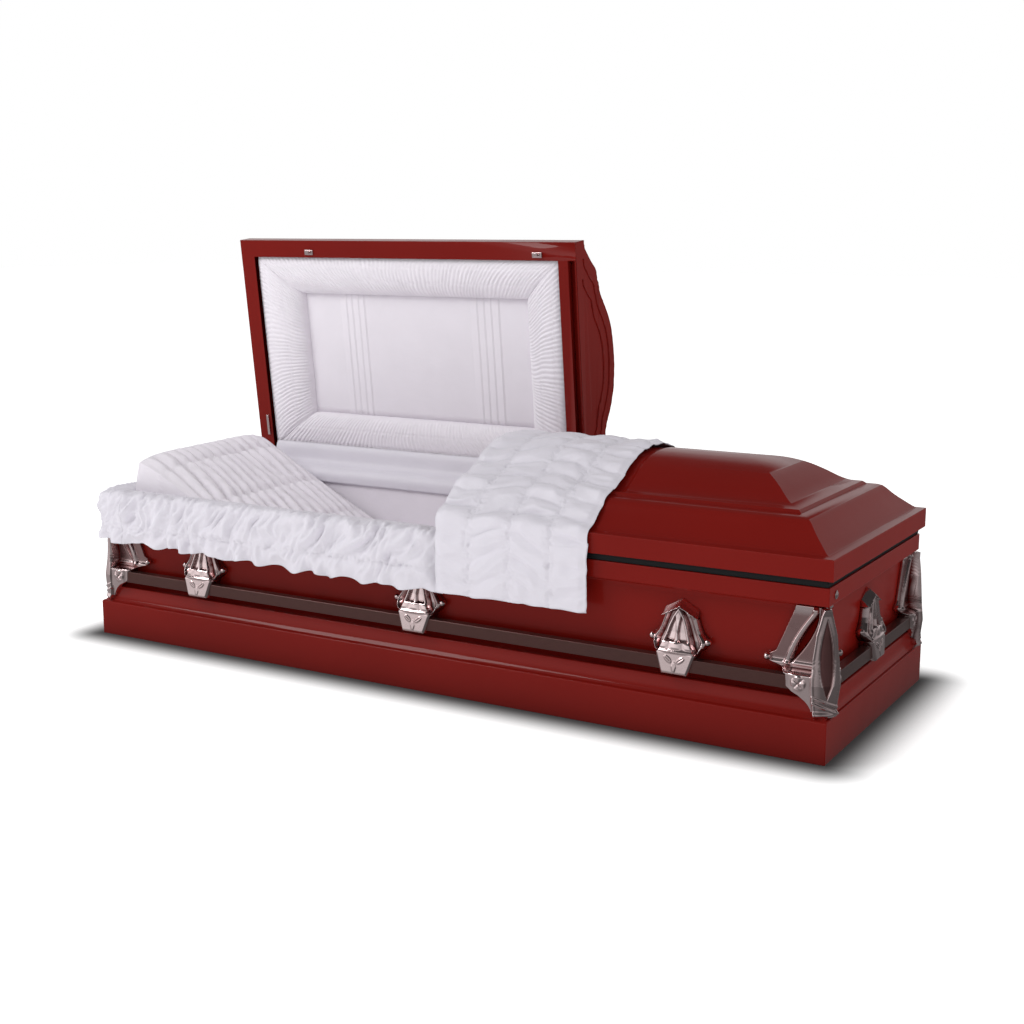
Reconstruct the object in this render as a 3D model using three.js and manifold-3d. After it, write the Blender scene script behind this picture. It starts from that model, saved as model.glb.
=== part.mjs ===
// A half-couch steel funeral casket: plinth, body, two domed lids, carrying hardware and interior.
// Millimetres, +Z up. X runs along the length with the head end at -X, the front faces -Y,
// and the origin is the middle of the underside.
import * as THREE from 'three';
import { mergeVertices } from 'three/addons/utils/BufferGeometryUtils.js';
import Module from 'manifold-3d';

const wasm = await Module();
wasm.setup();

// Driving dimensions
const GAP = 0.3;
const SHEET = 1.2;
const FAR = 3000;

const base = { halfLength: 1055, halfWidth: 361.2, top: 150, endRatio: 0.775 };
const rim = {
  halfLength: 1043.1, halfWidth: 338.6, bottom: 340.4, top: 381.5, overhang: 25, shelf: 38.6, lip: 20,
};
const wall = { x: rim.halfLength - rim.overhang, y: rim.halfWidth - rim.overhang };
const gasket = { inset: 3.5, width: 14, top: 397.4 };
const lid = {
  halfLength: 1053.3, halfWidth: 346.9, bottom: 397.7, flange: 48, crown: 199, lip: 50,
  split: 105, splitGap: 4,
};
const groove = { lip: 56, outer: 6, width: 20, depth: 18 };
const headerBead = { insets: [32, 66], width: 4, height: 1.5, start: 26, sideRatio: 1.6 };
const hinge = { y: 350.3, z: 392.7, radius: 5, leaf: 70, knuckle: 20, plate: 2, openDegrees: 83.3 };
const hingePlaces = { head: [-760, -190], foot: [330, 830] };

const bar = {
  front: 354, end: 1050, depth: 25, bottom: 155.5, height: 30, wallThickness: 1.5,
  halfLength: 972, halfWidth: 268,
};
const lug = {
  top: 314, eaves: 292, bottom: 189, span: 700, ear: 70, earHeight: 222, ball: 9.5,
  windowHalf: 27, windowBottom: 204, windowTop: 300, windowBack: 13,
};
const clasp = { top: 197, bottom: 148.5, topHalf: 46, bottomHalf: 30, back: 6 };
const corner = {
  top: 335, bottom: 100, frontReach: 115, endReach: 92, ball: 9, ballHeight: 213, frontRatio: 1.25,
  niche: 27,
};

const lining = { thickness: 7.7, top: 379 };
const interior = { x: wall.x - 13.9 - lining.thickness, y: wall.y - 13.9 - lining.thickness };
const mattress = { top: 235, bevel: 12 };
const pillow = { head: -986, foot: -505, halfWidth: 266, headTop: 482, footTop: 264 };
const apron = { end: 62, hem: 268, backEnd: 292 };
const overlay = { left: 68, right: 478, hem: 260, under: 4, outer: 12, backInset: 150 };
const roll = {
  outer: { head: -1002, split: 48, front: -296, back: 296 },
  inner: { head: -855, split: -75, front: -183, back: 185 },
  crest: 0.3, back: 52, foot: 44, bulge: 42,
};
const panel = { front: 46, back: 53 };
const catchPlaces = [-792, -14];
const catchSize = { plate: 30, y: -312, depth: 15, thickness: 3, hook: 12, reach: 11 };
const stay = { x: -1016, halfWidth: 4, from: 88, to: 151, thickness: 5 };
const plug = { y: -295, z: 360, radius: 9.5, length: 4 };

// Materials
function finish(color, roughness, metalness) {
  return new THREE.MeshStandardMaterial({ color, roughness, metalness });
}

const paint = finish('#6e161a', 0.22, 0.25);
const rubber = finish('#0d0f11', 0.8, 0);
const chrome = finish('#c9b3b4', 0.18, 1);
const bronze = finish('#35201d', 0.35, 0.6);
const satin = finish('#e6e1ea', 0.55, 0);

// Solids from three.js geometry

// Joins shared corners, drops collapsed triangles and turns the faces outward.
function solid(geometry) {
  const plain = new THREE.BufferGeometry();
  plain.setAttribute('position', geometry.getAttribute('position').clone());
  plain.setIndex(geometry.index ? geometry.index.clone() : null);
  const welded = mergeVertices(plain, 1e-3);
  const points = welded.getAttribute('position');
  const corners = [0, 1, 2].map(() => new THREE.Vector3());
  const faces = [];
  let volume = 0;
  for (let i = 0; i < welded.index.count; i += 3) {
    const face = [0, 1, 2].map((k) => welded.index.getX(i + k));
    if (new Set(face).size < 3) continue;
    face.forEach((vertex, k) => corners[k].fromBufferAttribute(points, vertex));
    volume += corners[0].dot(corners[1].clone().cross(corners[2]));
    faces.push(face);
  }
  const turned = volume < 0 ? faces.map(([a, b, c]) => [a, c, b]) : faces;
  const mesh = new wasm.Mesh({
    numProp: 3,
    vertProperties: new Float32Array(points.array),
    triVerts: new Uint32Array(turned.flat()),
  });
  return new wasm.Manifold(mesh);
}

function geometryOf(body) {
  const mesh = body.getMesh();
  const geometry = new THREE.BufferGeometry();
  geometry.setAttribute('position', new THREE.BufferAttribute(new Float32Array(mesh.vertProperties), 3));
  geometry.setIndex(new THREE.BufferAttribute(new Uint32Array(mesh.triVerts), 1));
  const flat = geometry.toNonIndexed();
  flat.computeVertexNormals();
  return flat;
}

function block([x0, x1], [y0, y1], [z0, z1]) {
  const geometry = new THREE.BoxGeometry(x1 - x0, y1 - y0, z1 - z0);
  return solid(geometry.translate((x0 + x1) / 2, (y0 + y1) / 2, (z0 + z1) / 2));
}

function ball(radius, x, y, z) {
  return solid(new THREE.SphereGeometry(radius, 6, 4).translate(x, y, z));
}

// A rod along X.
function rod(radius, [x0, x1], y, z) {
  const geometry = new THREE.CylinderGeometry(radius, radius, x1 - x0, 8).rotateZ(Math.PI / 2);
  return solid(geometry.translate((x0 + x1) / 2, y, z));
}

// A subdivided box whose unit coordinates are carried to the shape's surface by a function.
function warp(counts, place) {
  const geometry = new THREE.BoxGeometry(1, 1, 1, ...counts);
  const points = geometry.getAttribute('position');
  for (let i = 0; i < points.count; i += 1) {
    points.setXYZ(i, ...place(points.getX(i) + 0.5, points.getY(i) + 0.5, points.getZ(i) + 0.5));
  }
  return solid(geometry);
}

// A rectangular moulding with mitred corners: a four-sided lathe whose corners are moved apart.
// The profile holds [inset, height] pairs; the inset at the ends is scaled by endRatio.
function mitred(profile, halfLength, halfWidth, endRatio = 1) {
  const points = profile.map(([inset, height]) => new THREE.Vector2(halfWidth - inset, height));
  const geometry = new THREE.LatheGeometry(points, 4, Math.PI / 4);
  const place = geometry.getAttribute('position');
  const sides = [[1, -1], [1, 1], [-1, 1], [-1, -1], [1, -1]];
  for (let i = 0; i < place.count; i += 1) {
    const [sideX, sideY] = sides[Math.floor(i / profile.length)];
    const [inset, height] = profile[i % profile.length];
    place.setXYZ(i, sideX * (halfLength - inset * endRatio), sideY * (halfWidth - inset), height);
  }
  return solid(geometry);
}

// Moves a polyline sideways, to its left where distance is positive, keeping its corners mitred.
function offset(line, distance) {
  const points = line.map(([x, y]) => new THREE.Vector2(x, y));
  const normals = points.slice(1).map((point, i) => {
    const along = point.clone().sub(points[i]).normalize();
    return new THREE.Vector2(-along.y, along.x);
  });
  return points.map((point, i) => {
    const before = normals[Math.max(i - 1, 0)];
    const after = normals[Math.min(i, normals.length - 1)];
    const middle = before.clone().add(after).normalize();
    return point.clone().addScaledVector(middle, distance / middle.dot(after)).toArray();
  });
}

// A folded sheet's closed section, with its thickness to the right of the line, no further in than limit.
function sheet(line, limit) {
  const inside = offset(line, -SHEET).map(([inset, height]) => [Math.min(inset, limit), height]);
  const loop = [...line, ...inside.reverse()];
  return line[0][0] < limit ? [...loop, line[0]] : loop;
}

function outline(points) {
  return new THREE.Shape(points.map(([x, y]) => new THREE.Vector2(x, y)));
}

// An outline in (x, z) extruded along -Y from y = 0.
function standing(shape, depth) {
  const options = { depth, bevelEnabled: false, curveSegments: 3 };
  return new THREE.ExtrudeGeometry(shape, options).rotateX(Math.PI / 2);
}

const mix = THREE.MathUtils.lerp;

// A piecewise-linear curve through [position, value] pairs.
function along(pairs, position) {
  const next = pairs.findIndex(([place]) => place >= position);
  if (next <= 0) return pairs[next === 0 ? 0 : pairs.length - 1][1];
  const [p0, v0] = pairs[next - 1];
  const [p1, v1] = pairs[next];
  return mix(v0, v1, (position - p0) / (p1 - p0));
}

// The scene graph: the open head lid hangs in a group turned about the hinge axis
const casket = new THREE.Group();
const headLidTurn = new THREE.Group();
headLidTurn.position.set(0, hinge.y, hinge.z);
headLidTurn.rotation.x = -THREE.MathUtils.degToRad(hinge.openDegrees);
const headLid = new THREE.Group();
headLid.position.set(0, -hinge.y, -hinge.z);
headLidTurn.add(headLid);
const footLid = new THREE.Group();
casket.add(headLidTurn, footLid);

function piece(name, body, material, parent = casket) {
  const mesh = new THREE.Mesh(geometryOf(body), material);
  mesh.name = name;
  parent.add(mesh);
  return mesh;
}

// Plinth: a straight face, a cove and a small bead up to the wall
const plinthFace = [
  [0, 0], [0, 92.5], [2.5, 94.8], [9, 97.5], [15.5, 105], [20, 117], [23, 131.5], [26, 136], [31, 138],
  [40, 143.5],
  [base.halfWidth - wall.y - 0.5, base.top],
];

function plinth() {
  const line = [[base.halfWidth, 0], ...plinthFace];
  return mitred(sheet(line, base.halfWidth), base.halfLength, base.halfWidth, base.endRatio);
}

// Body: walls, a cove and the rim; the inner shelf ends in a turned-down lip
const bodyFace = [
  [rim.overhang, base.top + GAP], [rim.overhang, rim.bottom - 14], [rim.overhang - 4, rim.bottom - 6],
  [rim.overhang - 13, rim.bottom - 1.2], [1.5, rim.bottom], [0, rim.bottom + 1.5],
  [0, rim.top - 1.5], [1.5, rim.top],
];

function body() {
  const { shelf, top, lip, halfWidth, halfLength } = rim;
  const line = [[halfWidth, base.top + GAP], ...bodyFace, [shelf, top], [shelf, top - lip]];
  return mitred([...sheet(line, halfWidth), line[0]], halfLength, halfWidth);
}

// The room that the plinth and the body take up, with a clearance around it.
function casketBlock(clearance) {
  const grown = (face, width, top) => {
    const line = [[width, face[0][1]], ...face, [width, top]];
    return offset(line, clearance).map(([inset, height]) => [Math.min(inset, width), height]);
  };
  const plinthRoom = grown(plinthFace, base.halfWidth, base.top);
  const bodyRoom = grown(bodyFace, rim.halfWidth, rim.top);
  const lower = mitred(plinthRoom, base.halfLength, base.halfWidth, base.endRatio);
  return lower.add(mitred(bodyRoom, rim.halfLength, rim.halfWidth));
}

function gasketRing() {
  const { inset, width, top } = gasket;
  const bottom = rim.top + GAP;
  const section = [
    [inset, bottom], [inset - 1, (bottom + top) / 2], [inset, top - 2], [inset + 2, top],
    [inset + width, top], [inset + width, bottom], [inset, bottom],
  ];
  return mitred(section, rim.halfLength, rim.halfWidth);
}

// Lids: flange, lower panel, bead and crown panel, as [inset, height above the flange's underside]
const lidFace = [
  [1.5, 0], [0, 1.5], [0, lid.flange - 2], [2, lid.flange], [18, 50], [25, 53.5], [32, 59], [62, 85],
  [82, 106], [92, 112], [101, 114.5], [117, 116], [121, 120.5], [125, 123], [147, 127], [168, 137],
  [196, 156], [229, 175],
  [267, 189], [308, 196.5], [lid.halfWidth, lid.crown],
];
const raised = ([inset, height]) => [inset, lid.bottom + height];

function lidShell() {
  const line = [[lid.lip, 0], ...lidFace].map(raised);
  return mitred(sheet(line, lid.halfWidth), lid.halfLength, lid.halfWidth);
}

function lidBlock() {
  const line = [[lid.halfWidth, 0], ...lidFace].map(raised);
  return mitred(line, lid.halfLength, lid.halfWidth);
}

// A band on the lid's end wall: the dome's arch drawn smaller, so that it lies inside the edge.
function headerBand(inset, x) {
  const half = lidFace.filter((point, i) => i > 2 && i % 2 === 0);
  const arch = [...half, ...half.slice(0, -1).reverse().map(([i, h]) => [2 * lid.halfWidth - i, h])];
  const shrunk = (by) => arch.map(([i, h]) => [
    (i - lid.halfWidth) * (1 - headerBead.sideRatio * by / lid.halfWidth),
    lid.bottom + h * (1 - by / lid.crown),
  ]);
  const points = [...shrunk(inset), ...shrunk(inset + headerBead.width).reverse()];
  const depth = headerBead.height + SHEET / 2;
  const geometry = new THREE.ExtrudeGeometry(outline(points), { depth, bevelEnabled: false });
  geometry.rotateX(Math.PI / 2).rotateZ(Math.PI / 2).translate(x - SHEET / 2, 0, 0);
  const keep = block([x - 10, x + 10], [-FAR, FAR], [lid.bottom + headerBead.start, FAR]);
  return solid(geometry).intersect(keep);
}

function headLidBody() {
  const { split, bottom } = lid;
  const inner = lid.halfWidth - lid.lip;
  const side = block([-FAR, split], [-FAR, FAR], [0, FAR]);
  const header = lidBlock().intersect(block([split - SHEET, split], [-FAR, FAR], [0, FAR]));
  const lip = block([split - groove.lip, split], [-inner - 1, inner + 1], [bottom, bottom + SHEET]);
  const grooveX = [split - groove.outer - groove.width, split - groove.outer];
  const trough = block(
    [grooveX[0] - SHEET, grooveX[1] + SHEET],
    [-inner, inner],
    [bottom, bottom + groove.depth + SHEET],
  );
  const hollow = block(grooveX, [-inner + SHEET, inner - SHEET], [bottom - 1, bottom + groove.depth]);
  const plain = lidShell().intersect(side).add(header).add(lip).add(trough).subtract(hollow);
  return headerBead.insets.reduce((made, inset) => made.add(headerBand(inset, split)), plain);
}

function footLidBody() {
  const start = lid.split + lid.splitGap;
  const inner = lid.halfWidth - lid.lip;
  const side = block([start, FAR], [-FAR, FAR], [0, FAR]);
  const header = lidBlock().intersect(block([start, start + SHEET], [-FAR, FAR], [0, FAR]));
  const lip = block([start, start + lid.lip], [-inner - 1, inner + 1], [lid.bottom, lid.bottom + SHEET]);
  return lidShell().intersect(side).add(header).add(lip);
}

// Hinges: a leaf with one knuckle on the rim, and a leaf with two on the lid's flange
function bodyLeaf(x) {
  const half = hinge.leaf / 2;
  const knuckle = hinge.knuckle / 2;
  const back = rim.halfWidth + GAP;
  const plate = block([x - half, x + half], [back, back + hinge.plate], [rim.bottom + 4, rim.top + 1]);
  const neck = block([x - knuckle, x + knuckle], [back, hinge.y + 1], [rim.top - 2, hinge.z - 3]);
  return plate.add(neck).add(rod(hinge.radius, [x - knuckle, x + knuckle], hinge.y, hinge.z));
}

function lidLeaf(x) {
  const half = hinge.leaf / 2;
  const start = hinge.knuckle / 2 + GAP;
  const back = lid.halfWidth + GAP;
  const plate = block([x - half, x + half], [back, back + hinge.plate], [lid.bottom + 3, lid.bottom + 34]);
  return [-1, 1].reduce((made, side) => {
    const span = [x + side * start, x + side * half].sort((a, b) => a - b);
    const neck = block(span, [back, back + hinge.plate], [hinge.z, lid.bottom + 4]);
    return made.add(neck).add(rod(hinge.radius, span, hinge.y, hinge.z));
  }, plate);
}

// Carrying bars: square tubes
function tube(length, depth) {
  const { height, wallThickness } = bar;
  const outer = block([-length / 2, length / 2], [-depth / 2, depth / 2], [-height / 2, height / 2]);
  const hollow = block(
    [-length, length],
    [-depth / 2 + wallThickness, depth / 2 - wallThickness],
    [-height / 2 + wallThickness, height / 2 - wallThickness],
  );
  return outer.subtract(hollow);
}

function placeBars() {
  const z = bar.bottom + bar.height / 2;
  const middleY = bar.front - bar.depth / 2;
  const middleX = bar.end - bar.depth / 2;
  const sides = {
    front: [0, -middleY, 0], back: [0, middleY, 0], head: [-middleX, 0, 90], foot: [middleX, 0, 90],
  };
  for (const [side, [x, y, turn]] of Object.entries(sides)) {
    const length = 2 * (turn ? bar.halfWidth : bar.halfLength);
    const mesh = piece(`bar_${side}`, tube(length, bar.depth), bronze);
    mesh.position.set(x, y, z);
    mesh.rotation.z = THREE.MathUtils.degToRad(turn);
  }
}

// A pointed oval between two heights, its sides drawn as two arcs.
function lancet(halfWidth, bottom, top) {
  const half = (top - bottom) / 2;
  const radius = (halfWidth ** 2 + half ** 2) / (2 * halfWidth);
  const reach = Math.asin(half / radius);
  const middle = (top + bottom) / 2;
  const shape = new THREE.Shape();
  shape.absarc(halfWidth - radius, middle, radius, -reach, reach, false);
  shape.absarc(radius - halfWidth, middle, radius, Math.PI - reach, Math.PI + reach, false);
  return shape;
}

// A socket through a casting for a bar whose outer face stands out from the wall by front.
function barSocket(front, span) {
  const slack = GAP + 0.1;
  return block(
    span,
    [-front - slack, -front + bar.depth + slack],
    [bar.bottom - slack, bar.bottom + bar.height + slack],
  );
}

// The block that holds a bar: a tapered tip whose outline hangs over the bar
function claspBlock(topHalf, bottomHalf, front, shift) {
  const half = [[topHalf, clasp.top], [bottomHalf + 4, clasp.bottom + 8], [bottomHalf, clasp.bottom]];
  const left = half.map(([x, z]) => [shift - x, z]);
  const right = half.map(([x, z]) => [shift + x, z]).reverse();
  const shape = outline([...left, ...right]);
  return solid(standing(shape, front - clasp.back).translate(0, -clasp.back, 0));
}

// Lug in its own frame: the wall is the plane y = 0 and the lug stands out towards -Y
function lugCasting(barFront) {
  const halfWidths = [
    [lug.bottom, 53], [207, 63], [lug.earHeight, lug.ear], [236, 58], [252, 49], [272, 42], [lug.eaves, 40],
  ];
  const depths = [
    [lug.bottom, barFront + 3], [207, barFront - 1], [236, barFront - 11], [272, 21],
    [lug.eaves - 6, 19], [lug.eaves, 25],
  ];
  const hood = warp([6, 1, 6], (u, v, w) => {
    const across = 2 * u - 1;
    const level = mix(lug.bottom, lug.eaves, w);
    const gable = (lug.top - lug.eaves) * (1 - Math.abs(across)) * w;
    const edge = along([[lug.bottom, 18], [lug.earHeight, 10], [lug.eaves, 9]], level);
    const depth = mix(along(depths, level), edge, across ** 2);
    return [across * along(halfWidths, level), -mix(depth, GAP, v), level + gable];
  });
  const balls = [-1, 1].map((side) => ball(lug.ball, side * lug.ear, -11, lug.earHeight));
  const arch = lancet(lug.windowHalf, lug.windowBottom, lug.windowTop);
  const window = solid(standing(arch, FAR).translate(0, -lug.windowBack, 0));
  const stem = warp([2, 1, 3], (u, v, w) => {
    const half = along([[0, 15], [0.35, 6], [0.7, 9], [1, 2]], w);
    const depth = mix(barFront - 3, 19, w) + 2 * (1 - Math.abs(2 * u - 1));
    return [(2 * u - 1) * half, -mix(depth, 10, v), mix(202, 296, w)];
  });
  const tip = claspBlock(clasp.topHalf, clasp.bottomHalf, barFront + 4.5, 0);
  const through = barSocket(barFront, [-FAR, FAR]);
  const carved = hood.subtract(window).add(stem).add(tip);
  return balls.reduce((made, knob) => made.add(knob), carved).subtract(through);
}

function placeLugs() {
  const side = lugCasting(bar.front - wall.y);
  const end = lugCasting(bar.end - wall.x);
  const places = [
    ['lug_front_head', -lug.span, -wall.y, 0], ['lug_front_middle', 0, -wall.y, 0],
    ['lug_front_foot', lug.span, -wall.y, 0], ['lug_back_head', -lug.span, wall.y, 180],
    ['lug_back_middle', 0, wall.y, 180], ['lug_back_foot', lug.span, wall.y, 180],
    ['lug_head_end', -wall.x, 0, -90], ['lug_foot_end', wall.x, 0, 90],
  ];
  for (const [name, x, y, turn] of places) {
    const mesh = piece(name, Math.abs(turn) === 90 ? end : side, chrome);
    mesh.position.set(x, y, 0);
    mesh.rotation.z = THREE.MathUtils.degToRad(turn);
  }
}

// Corner casting for the front foot corner: a pillar on the diagonal with a wing along each wall.
// Thicknesses are along the end wall's normal; on the front they grow by frontRatio.
function cornerCasting(mirrorX, mirrorY) {
  const levels = [corner.bottom, 128, 160, corner.ballHeight, 240, 280, 322, corner.top];
  const reach = [
    [corner.bottom, 0.34], [128, 0.42], [160, 0.74], [corner.ballHeight, 1], [240, 0.74], [280, 0.6],
    [corner.top, 0.56],
  ];
  const nose = [
    [corner.bottom, 35], [118, 34], [150, 28], [corner.ballHeight, 26], [280, 22], [322, 20],
    [corner.top, 23],
  ];
  const wing = [[corner.bottom, 26], [150, 14], [corner.ballHeight, 11], [322, 8], [corner.top, 12]];
  const shape = warp([8, 1, levels.length - 1], (u, v, w) => {
    const level = levels[Math.round(w * (levels.length - 1))];
    const across = 2 * u - 1;
    const far = Math.abs(across);
    const proud = mix(along(nose, level), along(wing, level), Math.min(2 * far, 1));
    const out = v > 0.5 ? GAP : proud;
    const fade = 1 - THREE.MathUtils.smoothstep(far, 0, 0.5);
    const run = (across < 0 ? corner.frontReach : corner.endReach) * along(reach, level) * far;
    const outFront = out * corner.frontRatio;
    return across < 0 ? [out * fade - run, -outFront, level] : [out, run - outFront * fade, level];
  });
  const frontBar = bar.front - wall.y;
  const endBar = bar.end - wall.x;
  const frontTip = claspBlock(34, 22, frontBar + 3.5, -38);
  const ontoEnd = (made) => solid(geometryOf(made).rotateZ(Math.PI / 2));
  const endTip = ontoEnd(claspBlock(30, 20, endBar + 3.5, 30));
  const frontSocket = barSocket(frontBar, [-FAR, bar.halfLength - wall.x + 2]);
  const endSocket = ontoEnd(barSocket(endBar, [wall.y - bar.halfWidth - 2, FAR]));
  const recess = standing(lancet(14, 168, 318), 60).translate(0, -corner.niche, 0);
  const niche = solid(recess.rotateZ(Math.PI / 4));
  const frontBall = ball(corner.ball, 6 - corner.frontReach, -10, corner.ballHeight);
  const endBall = ball(corner.ball, 10, corner.endReach - 6, corner.ballHeight);
  const extras = [frontTip, endTip, frontBall, endBall];
  const cast = extras.reduce((made, extra) => made.add(extra), shape.subtract(niche));
  const fitted = cast.subtract(frontSocket).subtract(endSocket);
  const placed = geometryOf(fitted).translate(wall.x, -wall.y, 0);
  const clear = solid(placed).subtract(casketBlock(2 * GAP));
  return solid(geometryOf(clear).scale(mirrorX, mirrorY, 1));
}

// Interior
function sideLining() {
  const outer = rim.shelf + GAP;
  const inner = outer + lining.thickness;
  const bottom = base.top + SHEET + 2 * GAP;
  const { top } = lining;
  const section = [[outer, bottom], [outer, top], [inner, top], [inner, bottom], [outer, bottom]];
  return mitred(section, rim.halfLength, rim.halfWidth);
}

function mattressPad() {
  const bottom = base.top + SHEET + 2 * GAP;
  const { bevel } = mattress;
  const x = interior.x - 1 - bevel;
  const y = interior.y - 1 - bevel;
  const shape = outline([[-x, -y], [x, -y], [x, y], [-x, y]]);
  const depth = mattress.top - bottom - 2 * bevel;
  const options = { depth, bevelSize: bevel, bevelThickness: bevel, bevelSegments: 2 };
  return solid(new THREE.ExtrudeGeometry(shape, options).translate(0, 0, bottom + bevel));
}

function pillowWedge() {
  const bottom = mattress.top + GAP;
  return warp([6, 8, 1], (u, v, w) => {
    const side = 2 * v - 1;
    const crown = 1 - 0.3 * side ** 4 - 0.25 * (2 * u - 1) ** 8;
    const top = bottom + (mix(pillow.headTop, pillow.footTop, u) - bottom) * crown;
    return [mix(pillow.head, pillow.foot, u), side * pillow.halfWidth, mix(bottom, top, w)];
  });
}

// The gathered apron's section over the rim: [distance out from the lining, height], outer and inner faces
const apronOuter = [
  [-7, 364], [-7, 396], [2, 408], [30, 413], [60, 409], [76, 396], [79, 370], [78, apron.hem],
];
const apronInner = [
  [-1, 364], [-1, 392], [6, 400], [30, 401], [47, 399.5], [52, 394], [60, 380], [61, apron.hem],
];

function apronStrip(place) {
  return warp([1, apronOuter.length - 1, 1], (u, v, w) => {
    const index = Math.round(v * (apronOuter.length - 1));
    const [out, height] = (w > 0.5 ? apronOuter : apronInner)[index];
    return place(u, out, height);
  });
}

const frontApron = () => apronStrip((u, out, height) => [
  mix(-interior.x - out + GAP, apron.end, u), -interior.y - out, height,
]);

const headApron = () => apronStrip((u, out, height) => [
  -interior.x - out, mix(-interior.y - out + GAP, apron.backEnd, u), height,
]);

// The cloth that covers the hinge between the lining and the open lid
function hingeCloth() {
  const line = [[288, 362], [289, 385], [300, 402], [322, 406], [337, 418], [341, 448]];
  const front = offset(line, 3);
  return warp([1, line.length - 1, 1], (u, v, w) => {
    const [y, z] = (w > 0.5 ? front : line)[Math.round(v * (line.length - 1))];
    return [mix(roll.outer.head + 14, 92, u), y, z];
  });
}

// Lid lining: four rolls between two rectangles, and the panel they frame
function liningRoll(outerFrom, outerTo, innerFrom, innerTo) {
  return warp([1, 8, 1], (u, v, w) => {
    const reach = v < roll.crest ? roll.crest * 1.2 : 1 - roll.crest;
    const front = roll.foot - roll.bulge * Math.sqrt(Math.max(0, 1 - ((v - roll.crest) / reach) ** 2));
    const run = mix(0.0006, 0.9994, u);
    const x = mix(mix(outerFrom[0], outerTo[0], run), mix(innerFrom[0], innerTo[0], run), v);
    const y = mix(mix(outerFrom[1], outerTo[1], run), mix(innerFrom[1], innerTo[1], run), v);
    return [x, y, lid.bottom + mix(front, roll.back, w)];
  });
}

function placeLidLining() {
  const corners = ({ head, split, front, back }) => [
    [head, front], [split, front], [split, back], [head, back],
  ];
  const outer = corners(roll.outer);
  const inner = corners(roll.inner);
  ['front', 'split', 'hinge', 'head'].forEach((side, i) => {
    const next = (i + 1) % 4;
    piece(`lid_roll_${side}`, liningRoll(outer[i], outer[next], inner[i], inner[next]), satin, headLid);
  });
  const { head, split, front, back } = roll.inner;
  const field = block(
    [head + 1, split - 1],
    [front + 1, back - 1],
    [lid.bottom + panel.front, lid.bottom + panel.back],
  );
  piece('lid_panel', field, satin, headLid);
}

function lidCatch(x) {
  const { plate, y, depth, thickness, hook, reach } = catchSize;
  const top = lid.bottom - GAP;
  const foot = block([x - plate / 2, x + plate / 2], [y - depth / 2, y + depth / 2], [top - thickness, top]);
  const arm = block([x - hook / 2, x + hook / 2], [y - 3, y + 3], [top - reach, top - 1]);
  const nib = block([x - hook / 2, x + hook / 2], [y - 6.5, y + 3], [top - reach, top - reach + 3]);
  return foot.add(arm).add(nib);
}

function lidStay() {
  const back = lid.halfWidth;
  const top = lid.bottom - GAP;
  return block(
    [stay.x - stay.halfWidth, stay.x + stay.halfWidth],
    [back - stay.to, back - stay.from],
    [top - stay.thickness, top],
  );
}

// The throw over the foot lid: down the front, over the dome and part of the way down its back
function throwCloth() {
  const front = lidFace.slice(3).map(([inset, height]) => [inset - lid.halfWidth, lid.bottom + height]);
  const back = front.slice(0, -1).reverse().filter(([y]) => y > -lid.halfWidth + overlay.backInset);
  const line = [[-lid.halfWidth, overlay.hem], ...front, ...back.map(([y, z]) => [-y, z])];
  const under = offset(line, overlay.under);
  const outer = offset(line, overlay.outer);
  return warp([1, line.length - 1, 1], (u, v, w) => {
    const [y, z] = (w > 0.5 ? outer : under)[Math.round(v * (line.length - 1))];
    return [mix(overlay.left, overlay.right, u), y, z];
  });
}

function keyPlug() {
  const start = rim.halfLength + GAP;
  return rod(plug.radius, [start, start + plug.length], plug.y, plug.z);
}

// Assembly
piece('base_moulding', plinth(), paint);
piece('body_shell', body(), paint);
piece('gasket', gasketRing(), rubber);
placeBars();
placeLugs();
for (const [end, mirrorX] of [['foot', 1], ['head', -1]]) {
  piece(`corner_front_${end}`, cornerCasting(mirrorX, 1), chrome);
  piece(`corner_back_${end}`, cornerCasting(mirrorX, -1), chrome);
}
piece('key_plug', keyPlug(), chrome);
piece('side_lining', sideLining(), satin);
piece('mattress', mattressPad(), satin);
piece('pillow', pillowWedge(), satin);
piece('front_apron', frontApron(), satin);
piece('head_apron', headApron(), satin);
piece('hinge_cloth', hingeCloth(), satin);

piece('head_lid', headLidBody(), paint, headLid);
placeLidLining();
catchPlaces.forEach((x, i) => piece(`lid_catch_${i + 1}`, lidCatch(x), chrome, headLid));
piece('lid_stay', lidStay(), chrome, headLid);

piece('foot_lid', footLidBody(), paint, footLid);
piece('overlay', throwCloth(), satin, footLid);

for (const [which, places] of Object.entries(hingePlaces)) {
  places.forEach((x, i) => {
    piece(`hinge_body_${which}_${i + 1}`, bodyLeaf(x), chrome);
    piece(`hinge_lid_${which}_${i + 1}`, lidLeaf(x), chrome, which === 'head' ? headLid : footLid);
  });
}

export default casket;
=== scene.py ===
"""A half-couch funeral casket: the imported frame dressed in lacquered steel, cast hardware and satin."""
import math

import bmesh
import bpy
from bpy.props import FloatProperty, FloatVectorProperty, PointerProperty
from mathutils import Matrix, Vector, noise


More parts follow.
